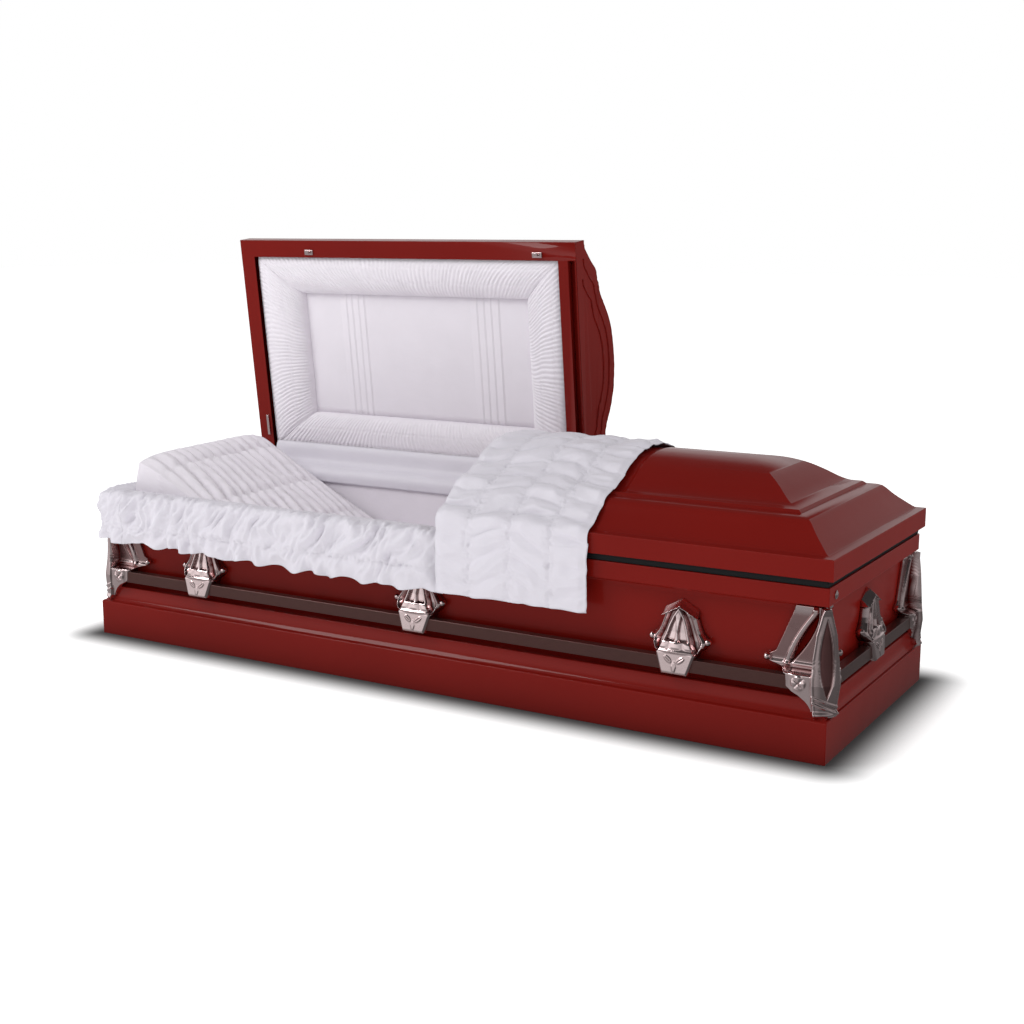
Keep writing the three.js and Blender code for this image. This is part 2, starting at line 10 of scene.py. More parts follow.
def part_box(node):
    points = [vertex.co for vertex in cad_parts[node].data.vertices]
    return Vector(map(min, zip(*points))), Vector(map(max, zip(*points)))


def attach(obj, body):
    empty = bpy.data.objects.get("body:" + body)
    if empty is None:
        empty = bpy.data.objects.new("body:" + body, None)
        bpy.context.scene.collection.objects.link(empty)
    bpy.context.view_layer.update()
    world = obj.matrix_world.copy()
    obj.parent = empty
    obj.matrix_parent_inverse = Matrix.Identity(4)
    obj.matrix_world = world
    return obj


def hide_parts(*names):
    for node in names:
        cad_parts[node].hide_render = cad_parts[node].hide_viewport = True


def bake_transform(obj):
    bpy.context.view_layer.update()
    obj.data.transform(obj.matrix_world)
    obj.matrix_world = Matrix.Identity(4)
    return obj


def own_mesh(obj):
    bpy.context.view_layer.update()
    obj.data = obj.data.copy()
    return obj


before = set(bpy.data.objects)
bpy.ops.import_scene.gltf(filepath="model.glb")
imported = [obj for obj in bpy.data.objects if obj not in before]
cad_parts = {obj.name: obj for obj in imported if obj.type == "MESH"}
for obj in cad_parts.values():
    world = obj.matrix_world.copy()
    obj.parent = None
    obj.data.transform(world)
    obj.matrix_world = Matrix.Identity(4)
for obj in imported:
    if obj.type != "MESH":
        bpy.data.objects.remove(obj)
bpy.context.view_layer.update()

bl_info = {
    "name": "Funeral Casket",
    "version": (1, 0, 0),
    "blender": (4, 5, 0),
    "location": "View3D > Sidebar > Casket",
    "description": "Dresses the casket's packed frame with steel skins, castings and satin",
    "category": "Object",
}

MM = 0.001

# Sizes that the steel and the cloth share with the frame, in metres
LID_BOTTOM = 0.3977
LID_HALF = (1.0533, 0.3469)
SPLIT = 0.105
FOOT_START = 0.109
RIM_HALF = (1.0431, 0.3386)
WALL_HALF = (1.0181, 0.3136)
BASE_HALF = (1.055, 0.3612)
BASE_END_RATIO = 0.775
INSIDE = (0.9965, 0.292)
HINGE = Vector((0.0, 0.3503, 0.3927))
OPEN_ANGLE = math.radians(83.3)
OPENED = Matrix.Translation(HINGE) @ Matrix.Rotation(-OPEN_ANGLE, 4, "X") @ Matrix.Translation(-HINGE)

# Thicknesses, the gathered cloth's mesh, and how far the painted shadow on the floor reaches from the plinth
STEEL = 0.0012
SATIN = 0.0016
LINING = 0.0012
PADDING = 0.004
THREAD_STEP = 0.0034
PAINTED_SHADOW_REACH = 0.15


# Small maths

def mix(a, b, share):
    """The value at a share of the way from a to b."""
    return a + (b - a) * share


def ease(share):
    """A smooth step from 0 to 1, held beyond its ends."""
    share = min(max(share, 0.0), 1.0)
    return share * share * (3 - 2 * share)


def window(value, start, end, soft):
    """One between start and end, fading to nothing over soft on both sides."""
    return ease((value - start) / soft + 0.5) * ease((end - value) / soft + 0.5)


def drift(a, b=0.0, c=0.0):
    """Smooth noise, about -1 to 1."""
    return noise.noise(Vector((a, b, c)))


def fold(turns):
    """A rounded ridge between sharp valleys, once in each turn."""
    return abs(math.sin(math.pi * turns)) ** 0.75


def crease(value, place, width):
    """One at a place, fading to nothing on both sides."""
    return math.exp(-(((value - place) / width) ** 2))


def curve(points, steps):
    """Points in millimetres joined by a smooth curve, in metres."""
    ends = [Vector(p) * MM for p in (points[0], *points, points[-1])]
    line = []
    for a, b, c, d in zip(ends, ends[1:], ends[2:], ends[3:]):
        for k in range(steps):
            t = k / steps
            bend = (2 * a - 5 * b + 4 * c - d) * t ** 2 + (3 * b - a - 3 * c + d) * t ** 3
            line.append((2 * b + (c - a) * t + bend) / 2)
    return line


def profile(*stretches, steps=5):
    """A line of straight stretches, of two points, and curved ones, of more."""
    line = [p for points in stretches for p in curve(points, steps if len(points) > 2 else 1)]
    return [*line, Vector(stretches[-1][-1]) * MM]


class Section:
    """A smooth line through a few points in millimetres, walked by share of its length."""

    def __init__(self, points, steps=12):
        self.line = [*curve(points, steps), Vector(points[-1]) * MM]
        self.walked = [0.0]
        for a, b in zip(self.line, self.line[1:]):
            self.walked.append(self.walked[-1] + (b - a).length)
        self.length = self.walked[-1]

    def at(self, share):
        """The point there, and the direction to the line's left."""
        goal = min(max(share, 0.0), 1.0) * self.length
        last = len(self.line) - 2
        n = min(max(sum(1 for w in self.walked if w <= goal) - 1, 0), last)
        span = self.walked[n + 1] - self.walked[n]
        point = self.line[n].lerp(self.line[n + 1], (goal - self.walked[n]) / span)
        run = (self.line[min(n + 2, last + 1)] - self.line[max(n - 1, 0)]).normalized()
        return point, Vector((-run.y, run.x))


# Materials

class Value:
    """A socket of a node tree, for sums written as Python expressions."""

    def __init__(self, nodes, socket):
        self.nodes = nodes
        self.socket = socket

    def math(self, operation, *terms):
        return self.nodes.node("ShaderNodeMath", {"operation": operation}, dict(enumerate(terms)))

    def __add__(self, other):
        return self.math("ADD", self, other)

    def __sub__(self, other):
        return self.math("SUBTRACT", self, other)

    def __rsub__(self, other):
        return self.math("SUBTRACT", other, self)

    def __mul__(self, other):
        return self.math("MULTIPLY", self, other)

    __radd__ = __add__
    __rmul__ = __mul__


class Nodes:
    """A node tree that grows from expressions."""

    def __init__(self, tree):
        self.tree = tree

    def node(self, kind, settings=None, inputs=None, output=0):
        made = self.tree.nodes.new(kind)
        for key, value in (settings or {}).items():
            if key == "stops":
                self.set_stops(made.color_ramp, value)
            else:
                setattr(made, key, value)
        for key, value in (inputs or {}).items():
            self.feed(made.inputs[key], value)
        return Value(self, made.outputs[output])

    def set_stops(self, ramp, stops):
        for n, (place, shade) in enumerate(stops):
            stop = ramp.elements[n] if n < 2 else ramp.elements.new(place)
            stop.position = place
            stop.color = (shade, shade, shade, 1)

    def feed(self, socket, value):
        if isinstance(value, Value):
            self.tree.links.new(value.socket, socket)
        else:
            socket.default_value = value

    def remap(self, value, before, after, **settings):
        """A value carried from one range to another, and held at its ends."""
        inputs = dict(zip(("From Min", "From Max", "To Min", "To Max"), (*before, *after)), Value=value)
        return self.node("ShaderNodeMapRange", settings, inputs)


class Finish(Nodes):
    """A procedural material, built up from nodes."""

    def __init__(self, name, fixed):
        self.material = bpy.data.materials.new(name)
        self.material.use_nodes = True
        super().__init__(self.material.node_tree)
        self.shader = self.tree.nodes["Principled BSDF"]
        for socket, value in fixed.items():
            self.shader.inputs[socket].default_value = value

    def place(self, source="Object", scale=(1, 1, 1)):
        spot = self.node("ShaderNodeTexCoord", output=source)
        return self.node("ShaderNodeMapping", inputs={"Vector": spot, "Scale": scale})

    def noise(self, where, scale, detail=2.0, roughness=0.5):
        inputs = {"Vector": where, "Scale": scale, "Detail": detail, "Roughness": roughness}
        return self.node("ShaderNodeTexNoise", inputs=inputs)

    def attribute(self, name):
        return self.node("ShaderNodeAttribute", {"attribute_name": name}, output="Fac")

    def shade(self, factor, first, second):
        """A colour between two, by a factor."""
        return self.node("ShaderNodeMix", {"data_type": "RGBA"}, {0: factor, 6: first, 7: second}, output=2)

    def drifting(self, factor, colour, least, most):
        """A colour that drifts between two shares of its strength."""
        return self.shade(factor, solid_colour(colour, least), solid_colour(colour, most))

    def surface(self, **feeds):
        for name, value in feeds.items():
            self.feed(self.shader.inputs[name.replace("_", " ").title()], value)

    def relief(self, height, strength, distance):
        inputs = {"Height": height, "Strength": strength, "Distance": distance}
        self.feed(self.shader.inputs["Normal"], self.node("ShaderNodeBump", inputs=inputs))


def solid_colour(colour, share):
    """A share of a colour, opaque."""
    return (*(channel * share for channel in colour), 1.0)


def lacquer_finish(colours):
    """Gloss paint on steel, with a faint orange peel and drifting depth of colour."""
    fixed = {"Specular IOR Level": 0.05, "Coat Weight": 0.3, "Coat Roughness": 0.03, "Coat IOR": 1.5}
    made = Finish("red_lacquer", fixed)
    where = made.place()
    broad = made.noise(where, 2.2, 3.0)
    fine = made.noise(where, 420.0, 1.0)
    rubbed = made.noise(where, 14.0, 4.0)
    made.surface(
        base_color=made.drifting(broad, colours.lacquer, 0.82, 1.14),
        roughness=0.26 + 0.10 * rubbed,
    )
    made.relief(fine + 0.6 * rubbed, 0.04, 0.0006)
    return made.material


def chrome_finish(colours):
    """Rose-tinted plating on a casting, with painted shade and a painted reflection of the red steel in its
    hollows.
    """
    made = Finish("rose_plating", {"Metallic": 1.0, "IOR": 1.5})
    where = made.place()
    cloud = made.noise(where, 30.0, 4.0)
    pores = made.noise(where, 260.0, 2.0)
    painted_shade_and_reflection = made.attribute("painted_shade_and_reflection")
    bright = made.drifting(cloud, colours.chrome, 0.86, 1.08)
    # Painted shade and painted reflection: the plating's colour turns to the red lacquer's where the casting
    # lies deep
    made.surface(
        base_color=made.shade(painted_shade_and_reflection, bright, solid_colour(colours.lacquer, 0.9)),
        roughness=0.09 + 0.10 * cloud + 0.22 * painted_shade_and_reflection,
    )
    made.relief(pores + 2.0 * cloud, 0.05, 0.0008)
    return made.material


def bronze_finish(colours):
    """Dark brushed bronze, drawn along the bar."""
    made = Finish("drawn_bronze", {"Metallic": 0.85, "IOR": 1.5, "Coat Weight": 0.4, "Coat Roughness": 0.12})
    grain = made.noise(made.place(scale=(6, 6, 160)), 8.0, 3.0)
    worn = made.noise(made.place(), 9.0, 3.0)
    made.surface(
        base_color=made.drifting(grain, colours.bronze, 0.75, 1.3),
        roughness=0.26 + 0.12 * grain + 0.08 * worn,
    )
    made.relief(grain, 0.08, 0.0006)
    return made.material


def rubber_finish(colours):
    """Matt moulded rubber with a fine bloom."""
    made = Finish("moulded_rubber", {"Specular IOR Level": 0.35})
    where = made.place()
    bloom = made.noise(where, 35.0, 4.0)
    pores = made.noise(where, 700.0, 2.0)
    made.surface(
        base_color=made.drifting(bloom, colours.rubber, 0.8, 1.6),
        roughness=0.55 + 0.2 * bloom,
    )
    made.relief(pores, 0.12, 0.0004)
    return made.material


def satin_finish(name, colour, shine):
    """Satin cloth: a fine weave, and crinkles where the cloth is drawn together."""
    made = Finish(name, {"Sheen Weight": 0.25, "Sheen Roughness": 0.4, "Specular IOR Level": 0.45})
    on_cloth = made.place("UV")
    gathered = made.attribute("gather")
    thread = {"Vector": on_cloth, "Scale": 420.0, "Distortion": 0.6}
    warp, weft = (
        made.node("ShaderNodeTexWave", {"bands_direction": way}, thread, output="Fac") for way in "XY"
    )
    soft = made.noise(on_cloth, 9.0, 3.0)
    crinkle = made.noise(on_cloth, 120.0, 3.0)
    creep = made.noise(on_cloth, 38.0, 2.0)
    made.surface(
        base_color=made.drifting(soft, colour, 0.95, 1.03),
        roughness=shine + 0.10 * soft + 0.08 * gathered,
    )
    weave = 0.02 * warp + 0.02 * weft
    made.relief(weave + crinkle * (0.10 + 0.9 * gathered) + 0.5 * creep, 0.55, 0.004)
    return made.material


def floor_finish(colours):
    """A pale sweep that glows away from the casket, its colour darkened beside the plinth into a painted
    shadow.
    """
    made = Finish("stage_floor", {"Specular IOR Level": 0.1, "Emission Strength": 0.62})
    where = made.place()
    haze = made.noise(where, 0.6, 2.0)
    beside = []
    for axis, half in zip("XY", BASE_HALF):
        spread = made.node("ShaderNodeSeparateXYZ", inputs={0: where}, output=axis)
        over = spread.math("ABSOLUTE", spread) - half
        beside.append(over.math("MAXIMUM", over, 0.0))
    near = beside[0] * beside[0] + beside[1] * beside[1]
    away = near.math("SQRT", near)
    # Painted glow and painted shadow: one away from the plinth, nothing right beside it
    painted_glow = made.remap(away, (0.0, PAINTED_SHADOW_REACH), (0.0, 1.0), interpolation_type="SMOOTHSTEP")
    pale = made.drifting(haze, colours.floor, 0.985, 1.0)
    # Painted shadow in the colour beside the plinth, and a painted glow that brightens the floor away from it
    made.surface(
        base_color=made.shade(painted_glow, solid_colour(colours.floor, 0.10), pale),
        roughness=0.9 + 0.05 * haze,
        emission_color=made.shade(painted_glow, (0, 0, 0, 1), (1, 1, 1, 1)),
    )
    return made.material


# Meshes

def add_piece(name, bm, material, body, nodes):
    """Hand a finished bmesh over as a piece that stands for CAD nodes and, given a body, rides on it."""
    mesh = bpy.data.meshes.new(name)
    bm.to_mesh(mesh)
    bm.free()
    made = bpy.data.objects.new(name, mesh)
    bpy.context.scene.collection.objects.link(made)
    mesh.materials.append(material)
    mesh.shade_smooth()
    if body:
        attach(made, body)
    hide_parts(*nodes)
    return made


def modifier(piece, kind, **settings):
    """Add a modifier with its settings."""
    made = piece.modifiers.new(kind.title(), kind)
    for key, value in settings.items():
        setattr(made, key, value)


def soften(piece, width, degrees, segments):
    """Round the edges that are sharper than an angle."""
    modifier(
        piece, "BEVEL", width=width, segments=segments, profile=0.5, limit_method="ANGLE",
        angle_limit=math.radians(degrees),
    )


def dress(names, material, width, degrees=35):
    """Keep CAD nodes, with their edges rounded and a finish of their own."""
    for name in names:
        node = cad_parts[name]
        node.data.materials.clear()
        node.data.materials.append(material)
        node.data.shade_smooth()
        modifier(node, "WELD", merge_threshold=1e-5)
        soften(node, width, degrees, 2)
        modifier(node, "WEIGHTED_NORMAL", weight=80)


def patch(bm, counts, place):
    """A grid whose unit coordinates are carried onto a surface; gives each vertex's coordinates."""
    made = bmesh.ops.create_grid(bm, x_segments=counts[0], y_segments=counts[1], size=0.5)
    spots = {vert: (vert.co.x + 0.5, vert.co.y + 0.5) for vert in made["verts"]}
    for vert, (u, v) in spots.items():
        vert.co = place(u, v)
    return spots


def lay_cloth(bm, counts, size, place, gather):
    """A patch of cloth with its own map in metres and a mask of where it is drawn together."""
    chart = bm.loops.layers.uv.new("cloth")
    mask = bm.verts.layers.float.new("gather")
    spots = patch(bm, counts, place)
    for vert, (u, v) in spots.items():
        vert[mask] = gather(u, v)
    for face in bm.faces:
        for loop in face.loops:
            u, v = spots[loop.vert]
            loop[chart].uv = (u * size[0], v * size[1])


def cloth(name, counts, size, place, gather, material, body, nodes, thickness):
    """A piece of cloth with some thickness."""
    bm = bmesh.new()
    lay_cloth(bm, counts, size, place, gather)
    made = add_piece(name, bm, material, body, nodes)
    modifier(made, "SOLIDIFY", thickness=thickness, offset=0.0)
    return made


def moulding(bm, line, half, end_ratio=1.0):
    """Carry a line of insets and heights round a rectangle by extruding its four edges."""
    ring = [bm.verts.new((x, y, 0)) for x, y in ((-1, -1), (1, -1), (1, 1), (-1, 1))]
    edges = [bm.edges.new(pair) for pair in zip(ring, ring[1:] + ring[:1])]
    for step, (inset, height) in enumerate(line):
        if step:
            made = bmesh.ops.extrude_edge_only(bm, edges=edges)["geom"]
            ring = [item for item in made if isinstance(item, bmesh.types.BMVert)]
            edges = [
                item for item in made
                if isinstance(item, bmesh.types.BMEdge) and all(vert in ring for vert in item.verts)
            ]
        for vert in ring:
            x = math.copysign(max(half[0] - inset * end_ratio, 0), vert.co.x)
            y = math.copysign(max(half[1] - inset, 0), vert.co.y)
            vert.co = (x, y, height)
    bmesh.ops.remove_doubles(bm, verts=bm.verts, dist=1e-5)
    bmesh.ops.recalc_face_normals(bm, faces=bm.faces)


def cut(bm, x, keep_head):
    """Cut everything at a plane across the length and keep one side of it."""
    geom = [*bm.verts, *bm.edges, *bm.faces]
    found = bmesh.ops.bisect_plane(
        bm, geom=geom, plane_co=(x, 0, 0), plane_no=(1, 0, 0), clear_outer=keep_head,
        clear_inner=not keep_head,
    )
    return [item for item in found["geom_cut"] if isinstance(item, bmesh.types.BMEdge)]


# Steel

BASE_FACE = (
    [(361.2, 0), (0, 0)], [(0, 0), (0, 92)], [(0, 92), (0.6, 94), (3, 95.4), (8.5, 97.2)],
    [(8.5, 97.2), (15.5, 105), (20, 117), (22.5, 131)], [(22.5, 131), (23, 134.4), (25.5, 136.4), (31, 138)],
    [(31, 138), (40, 143.5), (47.1, 150)],
)
BODY_FACE = (
    [(338.6, 150.3), (25, 150.3)], [(25, 150.3), (25, 322)],
    [(25, 322), (23.6, 331), (18, 337.6), (9, 340.2), (2.4, 340.6)], [(2.4, 340.6), (0.6, 341.4), (0, 343)],
    [(0, 343), (0, 379)], [(0, 379), (0.6, 380.9), (2.4, 381.5)], [(2.4, 381.5), (38.6, 381.5)],
    [(38.6, 381.5), (38.6, 361.5)],
)
LID_FACE = (
    [(50, 0), (2, 0)], [(2, 0), (0.5, 0.5), (0, 2)], [(0, 2), (0, 45.5)], [(0, 45.5), (0.6, 47.5), (2.8, 48)],
    [(2.8, 48), (18, 50), (25, 53.5), (32, 59)],
    [(32, 59), (62, 85), (82, 106), (92, 112), (101, 114.5), (117, 116)],
    [(117, 116), (119.5, 119), (125, 123)],
    [(125, 123), (147, 127), (168, 137), (196, 156), (229, 175), (267, 189), (308, 196.5), (346.9, 199)],
)

# Pressed panels of the lids: insets from the lid's side, then heights, gaps and slopes, in metres
LOWER_PANEL = (0.036, 0.092)
CROWN_PANEL = (0.126, 1.0)
PANEL_PARTING = 0.118
PANEL_RISE = 0.052
PANEL_CLEAR = 0.002
PANEL_SLOPE = 0.012
PANEL_CUT = 0.004
LID_LIP = 0.050
LID_HEIGHT = 0.199
BEAD_FLOOR = 0.040
BEAD_RISE = 0.0016
HEAD_BEADS = (0.032, 0.066)
HEAD_LIP = ((0.049, 0), (0.079, 0), (0.079, 0.018), (0.099, 0.018), (0.099, 0), (SPLIT, 0))


def lid_line():
    """The lid's profile, from its lip to the crown's middle."""
    return [Vector((inset, height + LID_BOTTOM)) for inset, height in profile(*LID_FACE)]


def emboss(bm, split, side, sizes):
    """Sink the lid's skin beside its split, so that the panels end in a rounded step."""
    for end in (sizes.lower_panel_end, sizes.crown_panel_end):
        for n in range(-4, 14):
            x = split + side * (end + PANEL_CUT * n)
            bmesh.ops.bisect_plane(
                bm, geom=[*bm.verts, *bm.edges, *bm.faces], plane_co=(x, 0, 0), plane_no=(1, 0, 0)
            )
    bm.normal_update()
    moves = {}
    for vert in bm.verts:
        inset = LID_HALF[1] - abs(vert.co.y)
        away = side * (vert.co.x - split)
        if vert.co.z < LID_BOTTOM + PANEL_RISE or away < PANEL_CLEAR:
            continue
        crown = inset > PANEL_PARTING
        bottom, top = CROWN_PANEL if crown else LOWER_PANEL
        reached = sizes.crown_panel_end if crown else sizes.lower_panel_end
        rounding = sizes.panel_corner
        short = min(inset - bottom, top - inset)
        turn = rounding
        if short > 0:
            turn -= math.sqrt(max(rounding ** 2 - max(rounding - short, 0) ** 2, 0))
        sunk = 1 - ease((away - reached - turn) / PANEL_SLOPE + 0.5)
        level = ease(short / PANEL_SLOPE)
        moves[vert] = vert.normal * (-sizes.panel_step * sunk * level)
    for vert, move in moves.items():
        vert.co += move


def header(bm, edges, x, side, beads):
    """Close the lid's cut end with a wall that carries thin arched beads."""
    face = bmesh.ops.contextual_create(bm, geom=edges)["faces"]
    if not face:
        raise RuntimeError("the lid's end wall has no outline")
    arch = [p for p in lid_line() if p.y > LID_BOTTOM + BEAD_FLOOR]
    last = len(arch) - 1
    for inset in beads:
        def place(u, v):
            share = 2 * u - 1
            spot = arch[min(int((1 - abs(share)) * last), last)]
            shrink = 1 - (inset + 0.004 * (v - 0.5)) / LID_HEIGHT
            narrow = 1 - 1.6 * inset / LID_HALF[1] - 0.006 * (v - 0.5)
            y = math.copysign((LID_HALF[1] - spot.x) * narrow, share)
            z = LID_BOTTOM + (spot.y - LID_BOTTOM) * shrink
            return (x + side * BEAD_RISE * math.sin(math.pi * v), y, z)
        patch(bm, (2 * last, 4), place)


def steel_piece(name, bm, material, body, node, width):
    """A pressed skin with rounded edges and the sheet's thickness."""
    made = add_piece(name, bm, material, body, [node])
    soften(made, width, 32, 3)
    modifier(made, "SOLIDIFY", thickness=STEEL, offset=-1.0)
    modifier(made, "WEIGHTED_NORMAL", weight=60)


# Registered settings

class CasketColours(bpy.types.PropertyGroup):
    """Base colours of the casket's finishes"""
    lacquer: FloatVectorProperty(
        name="Lacquer", description="Gloss paint on the steel", subtype="COLOR", min=0, max=1,
        default=(0.178, 0.0072, 0.0047))
    chrome: FloatVectorProperty(
        name="Rose chrome", description="Plating on the castings", subtype="COLOR", min=0, max=1,
        default=(0.90, 0.72, 0.72))
    bronze: FloatVectorProperty(
        name="Bronze", description="Carrying bars", subtype="COLOR", min=0, max=1,
        default=(0.12, 0.052, 0.046))
    rubber: FloatVectorProperty(
        name="Rubber", description="Gasket on the rim", subtype="COLOR", min=0, max=1,
        default=(0.006, 0.007, 0.008))
    satin: FloatVectorProperty(
        name="Satin", description="Apron, throw and hinge cloth", subtype="COLOR", min=0, max=1,
        default=(0.73, 0.70, 0.765))
    cushion: FloatVectorProperty(
        name="Cushion satin", description="Pillow, mattress and linings", subtype="COLOR", min=0, max=1,
        default=(0.84, 0.795, 0.852))
    floor: FloatVectorProperty(
        name="Floor", description="Pale stage floor", subtype="COLOR", min=0, max=1,
        default=(0.93, 0.93, 0.93))


class CasketSizes(bpy.types.PropertyGroup):
    """Sizes of the casket's details"""
    edge: FloatProperty(
        name="Steel edge", description="Radius of the pressed edges", default=0.0022, min=0, unit="LENGTH")
    lower_panel_end: FloatProperty(
        name="Lower panel end", description="From the split to the lower panel", default=0.361, unit="LENGTH")
    crown_panel_end: FloatProperty(
        name="Crown panel end", description="From the split to the crown panel", default=0.388, unit="LENGTH")
    panel_step: FloatProperty(
        name="Panel step", description="How far the lid is sunk beside its panels", default=0.0035,
        unit="LENGTH")
    panel_corner: FloatProperty(
        name="Panel corner", description="Radius of the panels' corners", default=0.022, unit="LENGTH")
    puff: FloatProperty(
        name="Apron puffs", description="Height of the apron's folds", default=0.014, min=0, unit="LENGTH")
    ruffle: FloatProperty(
        name="Hem ruffle", description="Swing of the apron's hem", default=0.0075, min=0, unit="LENGTH")
    lozenge: FloatProperty(
        name="Throw puffs", description="Height of the throw's puffs", default=0.013, min=0, unit="LENGTH")
    pillow_fold: FloatProperty(
        name="Pillow folds", description="Depth of the pillow's folds", default=0.030, min=0, unit="LENGTH")
    shirring: FloatProperty(
        name="Lid shirring", description="Depth of the lid lining's folds", default=0.0036, min=0,
        unit="LENGTH")


class CasketStage(bpy.types.PropertyGroup):
    """The camera and the light"""
    lens: FloatProperty(
        name="Lens", description="Focal length on a 36 mm sensor", default=52.92, unit="CAMERA")
    yaw: FloatProperty(
        name="Yaw", description="Camera's turn from the front", default=math.radians(30.53), subtype="ANGLE")
    pitch: FloatProperty(
        name="Pitch", description="Camera's tilt below level", default=math.radians(10.79), subtype="ANGLE")
    key: FloatProperty(
        name="Key light", description="Power of the large front light", default=74.0, unit="POWER")
    fill: FloatProperty(
        name="Fill light", description="Power of the side light", default=20.0, unit="POWER")


def finish(name):
    """A finish by name, made once."""
    colours = bpy.context.scene.casket_colours
    makers = {
        "red_lacquer": lambda: lacquer_finish(colours),
        "rose_plating": lambda: chrome_finish(colours),
        "drawn_bronze": lambda: bronze_finish(colours),
        "moulded_rubber": lambda: rubber_finish(colours),
        "drape_satin": lambda: satin_finish("drape_satin", colours.satin, 0.34),
        "cushion_satin": lambda: satin_finish("cushion_satin", colours.cushion, 0.46),
    }
    return bpy.data.materials.get(name) or makers[name]()


# Pieces

class CASKET_OT_base(bpy.types.Operator):
    """Press the plinth"""
    bl_idname = "casket.base"
    bl_label = "Base moulding"

    def execute(self, context):
        bm = bmesh.new()
        moulding(bm, profile(*BASE_FACE), BASE_HALF, BASE_END_RATIO)
        edge = context.scene.casket_sizes.edge
        steel_piece("steel_base", bm, finish("red_lacquer"), "casket_body", "base_moulding", edge)
        return {"FINISHED"}


class CASKET_OT_body(bpy.types.Operator):
    """Press the body's walls, rim and shelf"""
    bl_idname = "casket.body"
    bl_label = "Body shell"

    def execute(self, context):
        bm = bmesh.new()
        moulding(bm, profile(*BODY_FACE), RIM_HALF)
        edge = context.scene.casket_sizes.edge
        steel_piece("steel_body", bm, finish("red_lacquer"), "casket_body", "body_shell", edge)
        dress(["gasket"], finish("moulded_rubber"), 0.0012)
        return {"FINISHED"}


class CASKET_OT_lids(bpy.types.Operator):
    """Press both lids with their panels, end walls and lips"""
    bl_idname = "casket.lids"
    bl_label = "Lids"

    def execute(self, context):
        sizes = context.scene.casket_sizes
        self.foot_lid(sizes)
        self.head_lid(sizes)
        return {"FINISHED"}

    def foot_lid(self, sizes):
        bm = bmesh.new()
        moulding(bm, lid_line(), LID_HALF)
        edges = cut(bm, FOOT_START, False)
        emboss(bm, FOOT_START, 1, sizes)
        header(bm, edges, FOOT_START, -1, ())
        inner = LID_HALF[1] - LID_LIP
        patch(bm, (1, 1), lambda u, v: (FOOT_START + LID_LIP * u, mix(inner, -inner, v), LID_BOTTOM))
        steel_piece("steel_foot_lid", bm, finish("red_lacquer"), "foot_lid", "foot_lid", sizes.edge)

    def head_lid(self, sizes):
        bm = bmesh.new()
        moulding(bm, lid_line(), LID_HALF)
        edges = cut(bm, SPLIT, True)
        emboss(bm, SPLIT, -1, sizes)
        header(bm, edges, SPLIT, 1, HEAD_BEADS)
        inner = LID_HALF[1] - LID_LIP
        last = len(HEAD_LIP) - 1

        def lip(u, v):
            x, rise = HEAD_LIP[round(u * last)]
            return (x, mix(inner, -inner, v), LID_BOTTOM + rise)
        patch(bm, (last, 1), lip)
        bmesh.ops.transform(bm, matrix=OPENED, verts=bm.verts)
        steel_piece("steel_head_lid", bm, finish("red_lacquer"), "head_lid", "head_lid", sizes.edge)


# The screw's profile, as shares of its radius and of its rise
SCREW_LINE = ((1.0, 0.0), (1.0, 0.35), (0.82, 0.55), (0.70, 0.42), (0.62, 0.75), (0.40, 1.0), (0.0, 1.12))


class CASKET_OT_fittings(bpy.types.Operator):
    """Finish the bars, the hinges and the small fittings"""
    bl_idname = "casket.fittings"
    bl_label = "Bars and fittings"

    def execute(self, context):
        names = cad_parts.keys()
        dress([n for n in names if n.startswith("bar_")], finish("drawn_bronze"), 0.0028)
        starts = ("hinge_body", "hinge_lid", "lid_catch", "lid_stay")
        dress([n for n in names if n.startswith(starts)], finish("rose_plating"), 0.0012, 30)
        self.plug()
        return {"FINISHED"}

    def plug(self):
        low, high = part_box("key_plug")
        middle = (low + high) / 2
        radius = (high.z - low.z) / 2
        bm = bmesh.new()
        bm.verts.layers.float.new("painted_shade_and_reflection")
        points = [bm.verts.new((low.x + rise * (high.x - low.x), middle.y + share * radius, middle.z))
                  for share, rise in SCREW_LINE]
        edges = [bm.edges.new(pair) for pair in zip(points, points[1:])]
        bmesh.ops.spin(bm, geom=[*points, *edges], cent=middle, axis=(1, 0, 0), angle=2 * math.pi, steps=32,
                       use_merge=True)
        bmesh.ops.remove_doubles(bm, verts=bm.verts, dist=1e-5)
        bmesh.ops.holes_fill(bm, edges=[edge for edge in bm.edges if edge.is_boundary])
        bmesh.ops.recalc_face_normals(bm, faces=bm.faces)
        add_piece("key_screw", bm, finish("rose_plating"), "casket_body", ["key_plug"])


def along(pairs, place):
    """A line through pairs of place and value, straight between them."""
    if place <= pairs[0][0]:
        return pairs[0][1]
    for (p0, v0), (p1, v1) in zip(pairs, pairs[1:]):
        if place <= p1:
            return mix(v0, v1, (place - p0) / (p1 - p0))
    return pairs[-1][1]


# Feeds the painted shade and painted reflection of the red steel on the castings
def hollowness(relief, x, z):
    """How deep a point lies between its neighbours, from 0 to 1."""
    around = (relief(x + 4, z) + relief(x - 4, z) + relief(x, z + 4) + relief(x, z - 4)) / 4
    return min(max((around - relief(x, z)) / 5, 0.0), 1.0)


# Castings, in metres
RIVET_RADIUS = 0.0085
CAST_GAP = 0.0004
LUG_SPACING = 0.7


def rivet(bm, place):
    """A round rivet head."""
    head = bmesh.ops.create_uvsphere(bm, u_segments=20, v_segments=12, radius=RIVET_RADIUS)
    bmesh.ops.translate(bm, verts=head["verts"], vec=place)


